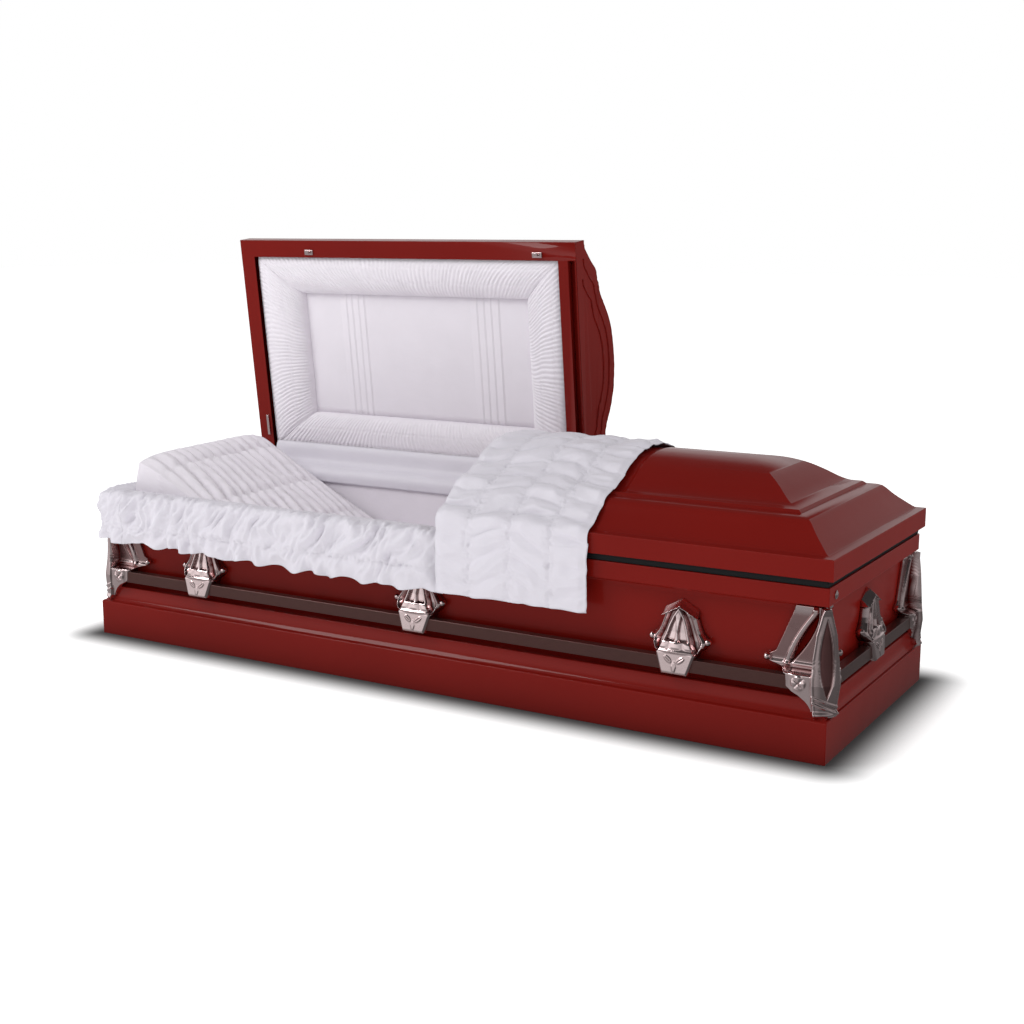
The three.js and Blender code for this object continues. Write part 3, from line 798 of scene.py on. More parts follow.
# Lug, in millimetres: x across, z up, relief out from the wall
LUG_TOP, LUG_BOTTOM, LUG_GABLE, LUG_ROOF, LUG_EAVES = 314, 148.5, 22, 17, 40
LUG_APEX, LUG_SILL, LUG_BEAD, LUG_TIP = 297, 220, 199.5, 197.5
LUG_PANE_RIM = 6.5
LUG_LEAF_ROW, LUG_BUD_ROW = (205, 219), (154, 177)
LUG_SPRIG, LUG_BUD = (15, 182), 166
LUG_BAR_SIDE, LUG_BAR_END = 40.4, 31.9
LUG_WIDTHS = [
    (148.5, 30), (157, 34), (190, 45), (196, 47.5), (203, 57), (212, 66), (222, 70), (231, 63), (240, 55),
    (252, 49), (272, 42.5), (292, 40),
]
LUG_ARM = [(196, 47), (203, 43), (212, 38.5), (235, 30.5), (258, 23.5), (276, 16), (289, 8), (297, 0.5)]
LUG_ARM_FACE = [(196, 1.03), (206, 0.97), (222, 0.90), (240, 0.80), (270, 0.66), (297, 0.58)]
LUG_HOOD = [(190, 40), (205, 35), (222, 25), (236, 22), (272, 20.5), (290, 23)]
LUG_HOOD_SECTION = [(0, 0.62), (0.25, 0.50), (0.55, 0.92), (0.66, 1.0), (0.85, 0.74), (1, 0.36)]
LUG_STEM = [(221, 5.5), (240, 3.4), (262, 5.6), (284, 9.5)]


def lug_plate(side, z, width, bar_front):
    """The plate over the bar, with two leaves and a bud."""
    rim = min(width - side, z - LUG_BOTTOM)
    out, up = side - LUG_SPRIG[0], z - LUG_SPRIG[1]
    vein = up * 0.8 - out * 0.6
    leaves = ease((12.5 - math.hypot(out * 0.8 + up * 0.6, vein * 2.2)) / 3.0)
    leaves -= 0.8 * ease((1.6 - abs(vein)) / 1.2)
    bud = ease((7 - side - 0.25 * abs(z - LUG_BUD)) / 3) * window(z, *LUG_BUD_ROW, 5)
    face = bar_front + 3.4 + 0.12 * (197 - z)
    return face - 3.2 * (1 - ease(rim / 4.5)) + 1.9 * max(leaves, 0.7 * bud)


def lug_relief(x, z, bar_front):
    """How far the lug stands out: a hood round two arms with a sunk pane, over the plate."""
    side = abs(x)
    width = along(LUG_WIDTHS, z)
    arm = along(LUG_ARM, z) if z < LUG_APEX else 0.0
    off = (side - arm) / max(width - arm, 1)
    hood = along(LUG_HOOD, z) * along(LUG_HOOD_SECTION, min(max(off, 0), 1))
    face = bar_front * along(LUG_ARM_FACE, z) + 3 - 4 * min(side / max(arm, 1), 1) ** 2
    pane = arm - LUG_PANE_RIM
    sunk = ease((pane - side) / 2.5) * ease((z - LUG_SILL) / 4)
    stem = ease((along(LUG_STEM, z) - side) / 2.2)
    face += sunk * (7.0 * stem - 9.5 + 1.5 * ease((z - LUG_SILL - 4) / 40))
    leaf = abs(math.cos(2.4 * x / max(arm, 1) * math.pi / 2))
    face += 2.8 * window(z, *LUG_LEAF_ROW, 7) * (leaf - 0.3)
    face += 3.0 * crease(z, LUG_BEAD, 2.6)
    out = mix(hood, face, ease((arm - side) / 3.0))
    roof = LUG_TOP - LUG_GABLE * min(side / LUG_EAVES, 1)
    if z > roof - LUG_ROOF:
        out = 1.0 + 1.45 * (roof - z)
    return mix(out, lug_plate(side, z, width, bar_front), ease((LUG_TIP - z) / 2.5))


def lug_casting(bar_front):
    """One lug in its own frame: the wall is the plane y = 0, and the lug stands out along -Y."""
    def spot(u, v):
        across = 2 * u - 1
        z = mix(LUG_BOTTOM, LUG_TOP - LUG_GABLE * abs(across), v)
        return across * along(LUG_WIDTHS, z), z

    def relief(x, z):
        return lug_relief(x, z, bar_front)

    def place(u, v):
        x, z = spot(u, v)
        return (x * MM, -relief(x, z) * MM, z * MM)
    bm = bmesh.new()
    mask = bm.verts.layers.float.new("painted_shade_and_reflection")
    spots = patch(bm, (96, 116), place)
    for vert, (u, v) in spots.items():
        # Painted shade and painted reflection of the red steel, stronger the deeper a point lies
        vert[mask] = hollowness(relief, *spot(u, v))
    rim = [edge for edge in bm.edges if edge.is_boundary]
    made = bmesh.ops.extrude_edge_only(bm, edges=rim)["geom"]
    for item in made:
        if isinstance(item, bmesh.types.BMVert):
            item.co.y = -CAST_GAP
    bmesh.ops.edgeloop_fill(bm, edges=[edge for edge in bm.edges if edge.is_boundary])
    for side in (-1, 1):
        rivet(bm, (side * 0.067, -0.0125, 0.222))
    bmesh.ops.recalc_face_normals(bm, faces=bm.faces)
    return bm


class CASKET_OT_lugs(bpy.types.Operator):
    """Cast the lugs that carry the bars"""
    bl_idname = "casket.lugs"
    bl_label = "Lugs"

    def execute(self, context):
        side = lug_casting(LUG_BAR_SIDE)
        end = lug_casting(LUG_BAR_END)
        places = {
            f"lug_{wall}_{spot}": (x, y, turn)
            for wall, y, turn in (("front", -WALL_HALF[1], 0), ("back", WALL_HALF[1], 180))
            for spot, x in (("head", -LUG_SPACING), ("middle", 0), ("foot", LUG_SPACING))
        }
        places["lug_head_end"] = (-WALL_HALF[0], 0, -90)
        places["lug_foot_end"] = (WALL_HALF[0], 0, 90)
        for name, (x, y, turn) in places.items():
            bm = (end if abs(turn) == 90 else side).copy()
            turned = Matrix.Translation((x, y, 0)) @ Matrix.Rotation(math.radians(turn), 4, "Z")
            bmesh.ops.transform(bm, matrix=turned, verts=bm.verts)
            add_piece(f"cast_{name}", bm, finish("rose_plating"), "casket_body", [name])
        side.free()
        end.free()
        return {"FINISHED"}


# Corner casting, in millimetres: s runs round the corner from its middle, towards the front below 0
CORNER_BOTTOM, CORNER_TOP, CORNER_ARC = 100, 335, 28
CORNER_SPREAD = [
    (100, 26), (108, 30), (116, 31), (124, 36), (134, 44), (146, 58), (156, 78), (162, 86), (188, 88),
    (197, 106), (206, 137), (213, 143), (220, 136), (228, 122), (335, 78),
]
CORNER_END_SHARE = 0.86
CORNER_POST = [
    (100, 42), (107, 47), (116, 43), (134, 44), (170, 48), (213, 44), (280, 38), (322, 33), (335, 35),
]
CORNER_POST_HALF = [(100, 25), (125, 27), (150, 29), (220, 31), (280, 26), (320, 16), (335, 10)]
CORNER_PLATE = 44.6, 35.8
CORNER_PANE, CORNER_SLIT = (16, 138, 316), (10, 203, 324)
CORNER_FLANGE, CORNER_BACK = 13, 0.6
CORNER_ROSE, CORNER_ROSE_RUN = 172, (30, 24)
CORNER_RIVETS = (-0.112, -0.013, 0.213), (0.013, 0.091, 0.213)


def lens(z, half, bottom, top):
    """Half the width of a pointed oval at a height."""
    share = min(max((2 * z - bottom - top) / (top - bottom), -1), 1)
    return half * (1 - share * share)


def corner_leaf(s, z):
    """The slit through a wing at a height: the run to its middle, and half its width."""
    middle = 60 * min(max((322 - z) / 116, 0), 1) ** 1.1 * (1 if s < 0 else CORNER_END_SHARE)
    return middle, lens(z, *CORNER_SLIT)


def corner_shade(s, z):
    """How much painted reflection of the red steel, and painted shade in the hollows, a spot of the casting
    takes.
    """
    run = abs(s) - CORNER_ARC
    leaf, slit = corner_leaf(s, z)
    # Full painted shade and painted reflection where the casting lies close against the wall
    if corner_relief(s, z) < 3.0:
        return 1.0
    # Painted reflection of the red steel on the flanges beside the slit, and painted shade in the sunk pane
    # and the hollows
    flange = ease((run - leaf - slit - CORNER_FLANGE) / 3) + ease((leaf - slit - run) / 3) * ease(run / 3)
    wing = 0.62 * min(flange, 1) * window(z, 212, 318, 16)
    return max(hollowness(corner_relief, s, z), 0.8 * corner_pane(abs(s), z), wing)


def corner_pane(side, z):
    """One on the sunk pane in the middle of the post, nothing beside it."""
    return ease((lens(z, *CORNER_PANE) - side) / 2.5)


def corner_relief(s, z):
    """How far the casting stands out of the walls."""
    wall = 0 if s < 0 else 1
    side = abs(s)
    run = side - CORNER_ARC
    half = along(CORNER_POST_HALF, z)
    wing = 9 + 4 * window(z, 325, 345, 10) + 5 * window(z, 190, 208, 8)
    leaf, slit = corner_leaf(s, z)
    rail = ease((run - leaf - slit + 1) / 2.5) * ease((leaf + slit + CORNER_FLANGE - run) / 2.5)
    wing += 8 * rail * window(z, 202, 332, 8)
    wing += 3 * ease((leaf - slit - run) / 3) * window(z, 205, 325, 8)
    wing = mix(wing, 1.2, ease((slit - abs(run - leaf)) / 2.0))
    plate = window(z, 108, 194, 8)
    middle = CORNER_ROSE_RUN[wall]
    up, out = z - CORNER_ROSE, run - middle
    far = math.hypot(up, out)
    petals = ease((17 - far) / 3) * abs(math.cos(2 * math.atan2(up, out))) - ease((4 - far) / 2)
    face = CORNER_PLATE[wall] - 3.5 * ease((out - 12) / 12) + 3.0 * petals
    face -= 7 * ease((152 - z) / 30)
    wing = mix(wing, face, plate)
    ridge = along(CORNER_POST, z) + 1.6 * ease((side - half + 6) / 2)
    ridge -= corner_pane(side, z) * (6.5 - 0.14 * (16 - side))
    ridge += 2.6 * (crease(z + 0.5 * s, 120, 2.6) + crease(z + 0.5 * s, 134, 2.2)) * window(z, 106, 148, 10)
    return mix(wing, ridge, ease((half - side) / 4 + 0.5))


def corner_spot(s, z, out):
    """The point over the corner of the walls: round an arc in the middle, then along each wall."""
    turn = math.radians(45) * (min(max(s / CORNER_ARC, -1), 1) - 1)
    run = max(abs(s) - CORNER_ARC, 0)
    x = out * math.cos(turn) - (run if s < 0 else 0)
    y = out * math.sin(turn) + (run if s > 0 else 0)
    return Vector((x, y, z)) * MM


def corner_casting():
    """The corner casting for the front foot corner, closed at its back against the walls."""
    def spot(u, v):
        across, z = 2 * u - 1, mix(CORNER_BOTTOM, CORNER_TOP, v)
        return across * along(CORNER_SPREAD, z) * (CORNER_END_SHARE if across > 0 else 1), z

    def place(u, v):
        s, z = spot(u, v)
        return corner_spot(s, z, corner_relief(s, z))

    def back(u, v):
        return corner_spot(*spot(u, v), CORNER_BACK)
    counts = (130, 150)
    bm = bmesh.new()
    mask = bm.verts.layers.float.new("painted_shade_and_reflection")
    spots = patch(bm, counts, place)
    for vert, (u, v) in spots.items():
        # Painted shade and painted reflection of the red steel, for the plating
        vert[mask] = corner_shade(*spot(u, v))
    patch(bm, counts, back)
    bmesh.ops.bridge_loops(bm, edges=[edge for edge in bm.edges if edge.is_boundary])
    for seat in CORNER_RIVETS:
        rivet(bm, seat)
    bmesh.ops.translate(bm, verts=bm.verts, vec=(WALL_HALF[0], -WALL_HALF[1], 0))
    return bm


class CASKET_OT_corners(bpy.types.Operator):
    """Cast the corner pieces"""
    bl_idname = "casket.corners"
    bl_label = "Corner castings"

    def execute(self, context):
        cast = corner_casting()
        for end, x in (("foot", 1), ("head", -1)):
            for side, y in (("front", 1), ("back", -1)):
                bm = cast.copy()
                bmesh.ops.scale(bm, vec=(x, y, 1), verts=bm.verts)
                bmesh.ops.recalc_face_normals(bm, faces=bm.faces)
                name = f"corner_{side}_{end}"
                add_piece(f"cast_{name}", bm, finish("rose_plating"), "casket_body", [name])
        cast.free()
        return {"FINISHED"}


# Apron: its section over the rim, outwards from the lining, and its runs along the rim
APRON = Section([
    (-4, 366), (-4, 388), (3, 402), (17, 406.5), (33, 406.5), (50, 404.5), (62, 397.5), (69, 383),
    (71.5, 352), (70.5, 312), (69.5, 267),
])
APRON_END = 0.084
APRON_UNDER = 0.045
APRON_TURN = (-0.960, -0.230)
APRON_FRONT_RUN = APRON_END - APRON_TURN[0]
APRON_CORNER_RUN = 0.20
APRON_CORNER_STRAIGHT = 0.35
APRON_ROW = 0.80
APRON_ROWS_DOWN = 64


def ridges(a, b, c):
    """Crumpled satin: rounded ridges that wander, about -1 to 1."""
    return 1 - 3.2 * abs(drift(a, b, c))


def apron_lift(run, share, sizes):
    """How far the gathered cloth stands off its section, at a run along the rim and a share down it."""
    top = window(share, 0.14, 0.46, 0.10)
    face = window(share, 0.32, 0.92, 0.16)
    hem = ease((share - 0.82) / 0.18)
    band = crease(share, APRON_ROW, 0.045)
    fine = fold(run / 0.015 + 1.4 * drift(run * 16, 2.3) + 0.5 * drift(run * 30, share * 8)) - 0.6
    lean = run - 0.12 * share + 0.020 * drift(run * 11, share * 4, 5.0)
    puffs = ridges(lean * 22 + 0.8 * drift(run * 7, share * 3, 1.0), share * 2.2, 2.0)
    small = ridges(lean * 47 + 0.6 * drift(run * 12, share * 5, 4.0), share * 5.0, 7.0)
    crinkle = ridges(run * 90, share * 24, 3.0) + 0.6 * drift(run * 210, share * 50)
    swing = math.sin(2 * math.pi * (run / 0.074 + 1.3 * drift(run * 6, 9.1))) + 0.8 * drift(run * 30, 4.4)
    lift = 0.0026 * top * fine + sizes.puff * face * (0.50 * puffs + 0.30 * small) * (1 - 0.45 * band)
    lift += -0.0022 * band + 0.0026 * crinkle * band
    return lift + sizes.ruffle * hem * swing + 0.0030 * hem


def apron_spot(run, share, sizes):
    """The apron's distance out from the lining and its height."""
    point, left = APRON.at(share)
    out, height = point + left * apron_lift(run, share, sizes)
    hem = ease((share - 0.80) / 0.20)
    scallop = 0.0045 * math.sin(2 * math.pi * (run / 0.118 + 0.5 * drift(run * 4, 6.2)))
    rise = mix(-0.011, 0.005, min(run / 1.1, 1.0))
    return out, height + hem * (scallop + rise + 0.003 * drift(run * 30, 1.7))


def apron_gather(share):
    """How closely the cloth is drawn together at a share down the apron."""
    top = 0.5 * window(share, 0.10, 0.42, 0.12)
    return min(1.0, top + 0.8 * crease(share, APRON_ROW, 0.05) + 0.15)


class CASKET_OT_apron(bpy.types.Operator):
    """Gather the apron that hangs over the front and the head end of the rim"""
    bl_idname = "casket.apron"
    bl_label = "Apron"

    def execute(self, context):
        sizes = context.scene.casket_sizes
        satin = finish("drape_satin")

        def front(u, v):
            run = u * APRON_FRONT_RUN
            out, height = apron_spot(run, v, sizes)
            under = 1 - 0.20 * ease((APRON_UNDER - run) / 0.030)
            return (APRON_END - run, -INSIDE[1] - out * under, height)

        def corner(u, v):
            out, height = apron_spot(APRON_FRONT_RUN + u * APRON_CORNER_RUN, v, sizes)
            radius = 0.5 * (out + 0.025)
            middle = (-INSIDE[0] - out + radius, -INSIDE[1] - out + radius)
            before = u / APRON_CORNER_STRAIGHT
            after = (u - 1) / APRON_CORNER_STRAIGHT + 1
            if before < 1:
                return (mix(APRON_TURN[0], middle[0], before), -INSIDE[1] - out, height)
            if after > 0:
                return (-INSIDE[0] - out, mix(middle[1], APRON_TURN[1], after), height)
            turn = math.pi / 2 * (u - APRON_CORNER_STRAIGHT) / (1 - 2 * APRON_CORNER_STRAIGHT)
            return (middle[0] - radius * math.sin(turn), middle[1] - radius * math.cos(turn), height)

        head_run = INSIDE[1] - APRON_TURN[1]

        def head(u, v):
            run = APRON_FRONT_RUN + APRON_CORNER_RUN + u * head_run
            out, height = apron_spot(run, v, sizes)
            return (-INSIDE[0] - out, APRON_TURN[1] + u * head_run, height)

        def hang(name, across, run, place, node):
            counts = (across, APRON_ROWS_DOWN)
            return cloth(name, counts, (run, APRON.length), place, lambda u, v: apron_gather(v), satin,
                         "casket_body", [node], SATIN)

        made = hang("satin_front_apron", 300, APRON_FRONT_RUN, front, "front_apron")
        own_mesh(made)
        made = hang("satin_corner_apron", 64, APRON_CORNER_RUN, corner, "head_apron")
        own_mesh(made)
        made = hang("satin_head_apron", 150, head_run, head, "head_apron")
        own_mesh(made)
        return {"FINISHED"}


def cushion(cuts, place):
    """A cube divided evenly, its coordinates from -1 to 1 carried onto a cushion's surface."""
    bm = bmesh.new()
    chart = bm.loops.layers.uv.new("cloth")
    mask = bm.verts.layers.float.new("gather")
    bmesh.ops.create_cube(bm, size=2.0)
    bmesh.ops.subdivide_edges(bm, edges=bm.edges, cuts=cuts, use_grid_fill=True)
    flat = {}
    for vert in bm.verts:
        a, b, c = vert.co
        spot, gathered = place(a, b, c)
        vert.co = spot
        vert[mask] = gathered
        flat[vert] = (spot[0] + 0.7 * spot[2], spot[1] + 0.7 * spot[2])
    for face in bm.faces:
        for loop in face.loops:
            loop[chart].uv = flat[loop.vert]
    return bm


class CASKET_OT_bed(bpy.types.Operator):
    """Make the mattress and the padded side lining"""
    bl_idname = "casket.bed"
    bl_label = "Mattress and lining"

    def execute(self, context):
        low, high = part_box("mattress")

        def pad(a, b, c):
            crown = (1 - abs(a) ** 14) * (1 - abs(b) ** 6)
            x = a * (high.x - 0.006 * c * c)
            y = b * (high.y - 0.006 * c * c)
            quilt = abs(math.sin(math.pi * (x + y) / 0.16)) * abs(math.sin(math.pi * (x - y) / 0.16))
            top = mix(low.z, high.z, 0.80) + 0.0155 * crown * (0.45 + 0.55 * min(1, quilt * 1.8))
            bottom = low.z + 0.004 * (1 - crown)
            return (x, y, mix(bottom, top, (c + 1) / 2)), 0.3 * crown
        made = add_piece("satin_mattress", cushion(41, pad), finish("cushion_satin"), "casket_body",
                         ["mattress"])
        self.lining()
        return {"FINISHED"}

    def lining(self):
        low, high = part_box("side_lining")
        corner = 0.012
        straight = [2 * (INSIDE[0] - corner), 2 * (INSIDE[1] - corner)] * 2
        around = sum(straight) + 2 * math.pi * corner

        def place(u, v):
            run = u * around
            spot = Vector((-INSIDE[0] + corner, -INSIDE[1]))
            heading = Vector((1, 0))
            for length in straight:
                if run <= length:
                    spot = spot + heading * run
                    break
                spot = spot + heading * length
                run -= length
                side = Vector((-heading.y, heading.x))
                arc = min(run / corner, math.pi / 2)
                spot = spot + heading * corner * math.sin(arc) + side * corner * (1 - math.cos(arc))
                run -= corner * math.pi / 2
                heading = heading * math.cos(arc) + side * math.sin(arc)
                if run <= 0:
                    break
            inward = Vector((-heading.y, heading.x))
            soft = 0.0012 + 0.0012 * drift(u * 30, v * 2, 2.0) - 0.002 * crease(v, 0.985, 0.02)
            spot = spot - inward * (0.0035 - soft)
            return (spot.x, spot.y, mix(low.z, high.z - 0.001, v))
        made = cloth("satin_side_lining", (300, 12), (around, high.z - low.z), place, lambda u, v: 0.1,
                     finish("cushion_satin"), "casket_body", ["side_lining"], PADDING)


# Pillow: shirred rows as shares of its length, and the heights of its head end and its foot
PILLOW_ROWS = (0.17, 0.52, 0.84)
PILLOW_HEAD = (0.510, 0.520)
PILLOW_FOOT = 0.262


class CASKET_OT_pillow(bpy.types.Operator):
    """Stuff the sloping pillow, with folds from head to foot and shirred rows across"""
    bl_idname = "casket.pillow"
    bl_label = "Pillow"

    def execute(self, context):
        sizes = context.scene.casket_sizes
        low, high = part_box("pillow")

        def place(a, b, c):
            u = (a + 1) / 2
            pulled = 0.010 * (1 - b ** 2)
            x = mix(low.x + pulled, high.x - 0.030 - pulled, u)
            y = b * (high.y - 0.008 * (1 - a ** 2) - 0.004 * c * c)
            crown = 1 - 0.07 * b ** 6 - 0.05 * a ** 8
            slope = mix(mix(*PILLOW_HEAD, (b + 1) / 2), PILLOW_FOOT, u ** 0.95)
            height = (slope - low.z) * crown
            row = max(crease(u, place, 0.022) for place in PILLOW_ROWS)
            inner = (1 - b ** 8) * (1 - a ** 10)
            bent = y + 0.05 * u * u + 0.018 * drift(u * 2.2, y * 6, 1.0)
            folds = fold(bent / 0.036 + 0.7 * drift(u * 1.6, y * 9, 4.0)) - 0.6
            fine = fold(bent / 0.019 + drift(u * 2, y * 14, 8.0)) - 0.5
            crinkle = drift(y * 120, u * 60) * row
            lift = sizes.pillow_fold * inner * (folds * (1 - 0.45 * row) + 0.28 * fine)
            lift += -0.0035 * row * inner + 0.004 * crinkle
            top = low.z + height + lift * ease(height / 0.05)
            z = mix(low.z, top, (c + 1) / 2)
            bulge = 0.010 * (1 - c * c)
            x += bulge * a ** 5 * 0.6
            y += bulge * b ** 5
            return (x, y, z), min(1.0, row + 0.12)
        made = add_piece("satin_pillow", cushion(89, place), finish("cushion_satin"), "casket_body",
                         ["pillow"])
        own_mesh(made)
        return {"FINISHED"}


# Lid lining: the rolls' outlines and section, the panel's pleats, and depths up from the lid's edge
ROLL_OUTER = {"head": -1.002, "split": 0.048, "front": -0.296, "back": 0.296}
ROLL_INNER = {"head": -0.855, "split": -0.075, "front": -0.183, "back": 0.185}
ROLL_CREST = 0.30
ROLL_FOOT = 0.044
ROLL_BULGE = 0.040
ROLL_BACK = 0.052
ROLL_GAP = 0.0006
ROLL_ROWS = (0.22, 0.62)
PANEL_DEPTH = 0.0475
PANEL_TUCK = 0.004
PLEAT_RISE = 0.0026
PLEATS = ((-0.728, -0.639), (-0.269, -0.175))


class CASKET_OT_lid_lining(bpy.types.Operator):
    """Shirr the four rolls of the open lid and pleat the panel between them"""
    bl_idname = "casket.lid_lining"
    bl_label = "Lid lining"

    def execute(self, context):
        sizes = context.scene.casket_sizes
        corners = [("head", "front"), ("split", "front"), ("split", "back"), ("head", "back")]
        outer = [Vector((ROLL_OUTER[x], ROLL_OUTER[y])) for x, y in corners]
        inner = [Vector((ROLL_INNER[x], ROLL_INNER[y])) for x, y in corners]
        for n, side in enumerate(("front", "split", "hinge", "head")):
            after = (n + 1) % 4
            self.roll(side, n, (outer[n], outer[after]), (inner[n], inner[after]), sizes)
        self.panel()
        return {"FINISHED"}

    def roll(self, side, seed, outer, inner, sizes):
        length = (outer[1] - outer[0]).length
        width = (inner[0] - outer[0]).length

        def place(u, v):
            reach = ROLL_CREST * 1.5 if v < ROLL_CREST else 1 - ROLL_CREST
            front = ROLL_FOOT - ROLL_BULGE * math.sqrt(max(0.0, 1 - ((v - ROLL_CREST) / reach) ** 2))
            start, end = outer[0].lerp(inner[0], v), outer[1].lerp(inner[1], v)
            share = mix(ROLL_GAP, 1 - ROLL_GAP, u)
            run = share * length
            bent = run + 0.010 * math.sin(math.pi * v + seed) + 0.006 * drift(run * 9, v * 3, seed)
            shirr = fold(bent / 0.0145 + 0.8 * drift(run * 10, seed, 2.0)) - 0.6
            rows = max(crease(v, row, 0.03) for row in ROLL_ROWS)
            seam = crease(u, 0.0, 0.012) + crease(u, 1.0, 0.012)
            lift = sizes.shirring * shirr * ease(v / 0.06) * (1 - 0.5 * rows) - 0.0015 * rows
            lift += 0.0012 * drift(run * 120, v * 20, seed) * rows - 0.003 * seam
            spot = start.lerp(end, share)
            return (spot.x, spot.y, LID_BOTTOM + front - lift * (1 if front < ROLL_FOOT - MM else 0.3))

        def gather(u, v):
            return min(1.0, 0.12 + sum(crease(v, row, 0.05) for row in ROLL_ROWS))
        bm = bmesh.new()
        lay_cloth(bm, (max(60, int(length / THREAD_STEP)), 40), (length, width), place, gather)
        rim = [edge for edge in bm.edges if edge.is_boundary]
        made = bmesh.ops.extrude_edge_only(bm, edges=rim)["geom"]
        for item in made:
            if isinstance(item, bmesh.types.BMVert):
                item.co.z = LID_BOTTOM + ROLL_BACK
        bmesh.ops.edgeloop_fill(bm, edges=[edge for edge in bm.edges if edge.is_boundary])
        bmesh.ops.recalc_face_normals(bm, faces=bm.faces)
        bmesh.ops.transform(bm, matrix=OPENED, verts=bm.verts)
        piece = add_piece(f"satin_lid_roll_{side}", bm, finish("cushion_satin"), "head_lid",
                          [f"lid_roll_{side}"])

    def panel(self):
        left, right = ROLL_INNER["head"] - PANEL_TUCK, ROLL_INNER["split"] + PANEL_TUCK
        front, back = ROLL_INNER["front"] - PANEL_TUCK, ROLL_INNER["back"] + PANEL_TUCK

        def place(u, v):
            x = mix(left, right, u)
            rise = 0.0
            for start, end in PLEATS:
                if start < x < end:
                    turn = (x - start) / (end - start) * 4
                    rise = PLEAT_RISE * (turn % 1.0) ** 0.7
            lift = rise + 0.0010 * drift(x * 7, v * 3, 6.0)
            return OPENED @ Vector((x, mix(back, front, v), LID_BOTTOM + PANEL_DEPTH - lift))
        made = cloth("satin_lid_panel", (340, 16), (right - left, back - front), place, lambda u, v: 0.0,
                     finish("cushion_satin"), "head_lid", ["lid_panel"], LINING)


HINGE_CLOTH = Section([
    (288, 362), (289, 385), (300, 401), (320, 406), (336, 418), (342, 448), (345, 458), (351, 467),
])
HINGE_CLOTH_LIFT = 0.002


class CASKET_OT_hinge_cloth(bpy.types.Operator):
    """Hang the plain strip that covers the hinge"""
    bl_idname = "casket.hinge_cloth"
    bl_label = "Hinge cloth"

    def execute(self, context):
        low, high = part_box("hinge_cloth")

        def place(u, v):
            point, left = HINGE_CLOTH.at(v)
            x = mix(low.x, high.x, u)
            wave = 0.0014 * drift(x * 6, v * 2, 1.0) + 0.0006 * drift(x * 25, v * 5)
            y, z = point + left * (HINGE_CLOTH_LIFT + wave)
            return (x, y, z)
        made = cloth("satin_hinge_cloth", (160, 24), (high.x - low.x, HINGE_CLOTH.length), place,
                     lambda u, v: 0.05, finish("drape_satin"), None, ["hinge_cloth"], LINING)
        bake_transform(made)
        return {"FINISHED"}


# Throw: its section over the foot lid, from the hem up and over, and its width along the lid
THROW = Section([
    (-357.5, 259), (-358, 300), (-358, 350), (-358, 400), (-356.5, 434), (-350, 449), (-336, 459),
    (-314, 471), (-289, 491), (-262, 515), (-232, 526.5), (-204, 534), (-181, 544.5), (-154, 562.5),
    (-119, 581), (-81, 595.5), (-40, 603), (0, 605), (40, 603), (81, 595.5), (119, 581), (154, 562.5),
    (181, 544.5), (200, 536),
])
THROW_SPAN = (0.068, 0.478)
THROW_CUT = 0.150
THROW_TUCK = 0.012
THROW_DEPTH = 0.0035
COLUMNS = (0.160, 0.270, 0.380)


def throw_lift(x, run, sizes):
    """How far the smocked throw stands off its section."""
    lines = (THROW_SPAN[0] - 0.03, *COLUMNS, THROW_SPAN[1] + 0.06)
    gap = max(sum(1 for line in lines if line <= x) - 1, 0)
    left, right = lines[gap], lines[min(gap + 1, len(lines) - 1)]
    share = min(max((x - left) / (right - left), 0), 1)
    near = min(abs(x - column) for column in COLUMNS)
    belly = math.sin(math.pi * share) ** 0.6
    sway = 0.020 * drift(x * 9, run * 8, gap) + 0.012 * math.sin(share * 3.1 + gap * 2)
    period = 0.060 + 0.006 * math.sin(gap * 2.4)
    drop = ease((0.21 - run) / 0.08)
    slant = (0.40 - 0.6 * (gap % 2)) * (x - left) * drop
    puffs = fold((run + sway + slant) / period + 0.5 * gap) - 0.45
    small = ridges((x - 0.5 * run) * 14, (run + sway + slant) * 34, gap + 2.0)
    crinkle = ridges(x * 70, run * 75, 1.0) + 0.7 * drift(x * 160, run * 170, 2.0)
    pinch = 0.6 + 0.4 * math.sin(2 * math.pi * run / 0.030)
    lift = sizes.lozenge * belly * (0.85 * puffs * (1 - 0.35 * drop) + 0.24 * small)
    lift += (0.0034 * crinkle * pinch - 0.0020) * crease(near, 0, 0.014)
    lift += 0.0030 * drift(x * 6, run * 6, 3.0)
    outer = THROW_SPAN[1] - x
    edge = min(x - THROW_SPAN[0], outer)
    hem = crease(outer, 0.004, 0.004) + crease(run, 0.004, 0.005)
    lift *= mix(0.35, 1, ease(edge / 0.020))
    return lift + 0.0016 * hem - THROW_DEPTH * (1 - ease(outer / 0.02))


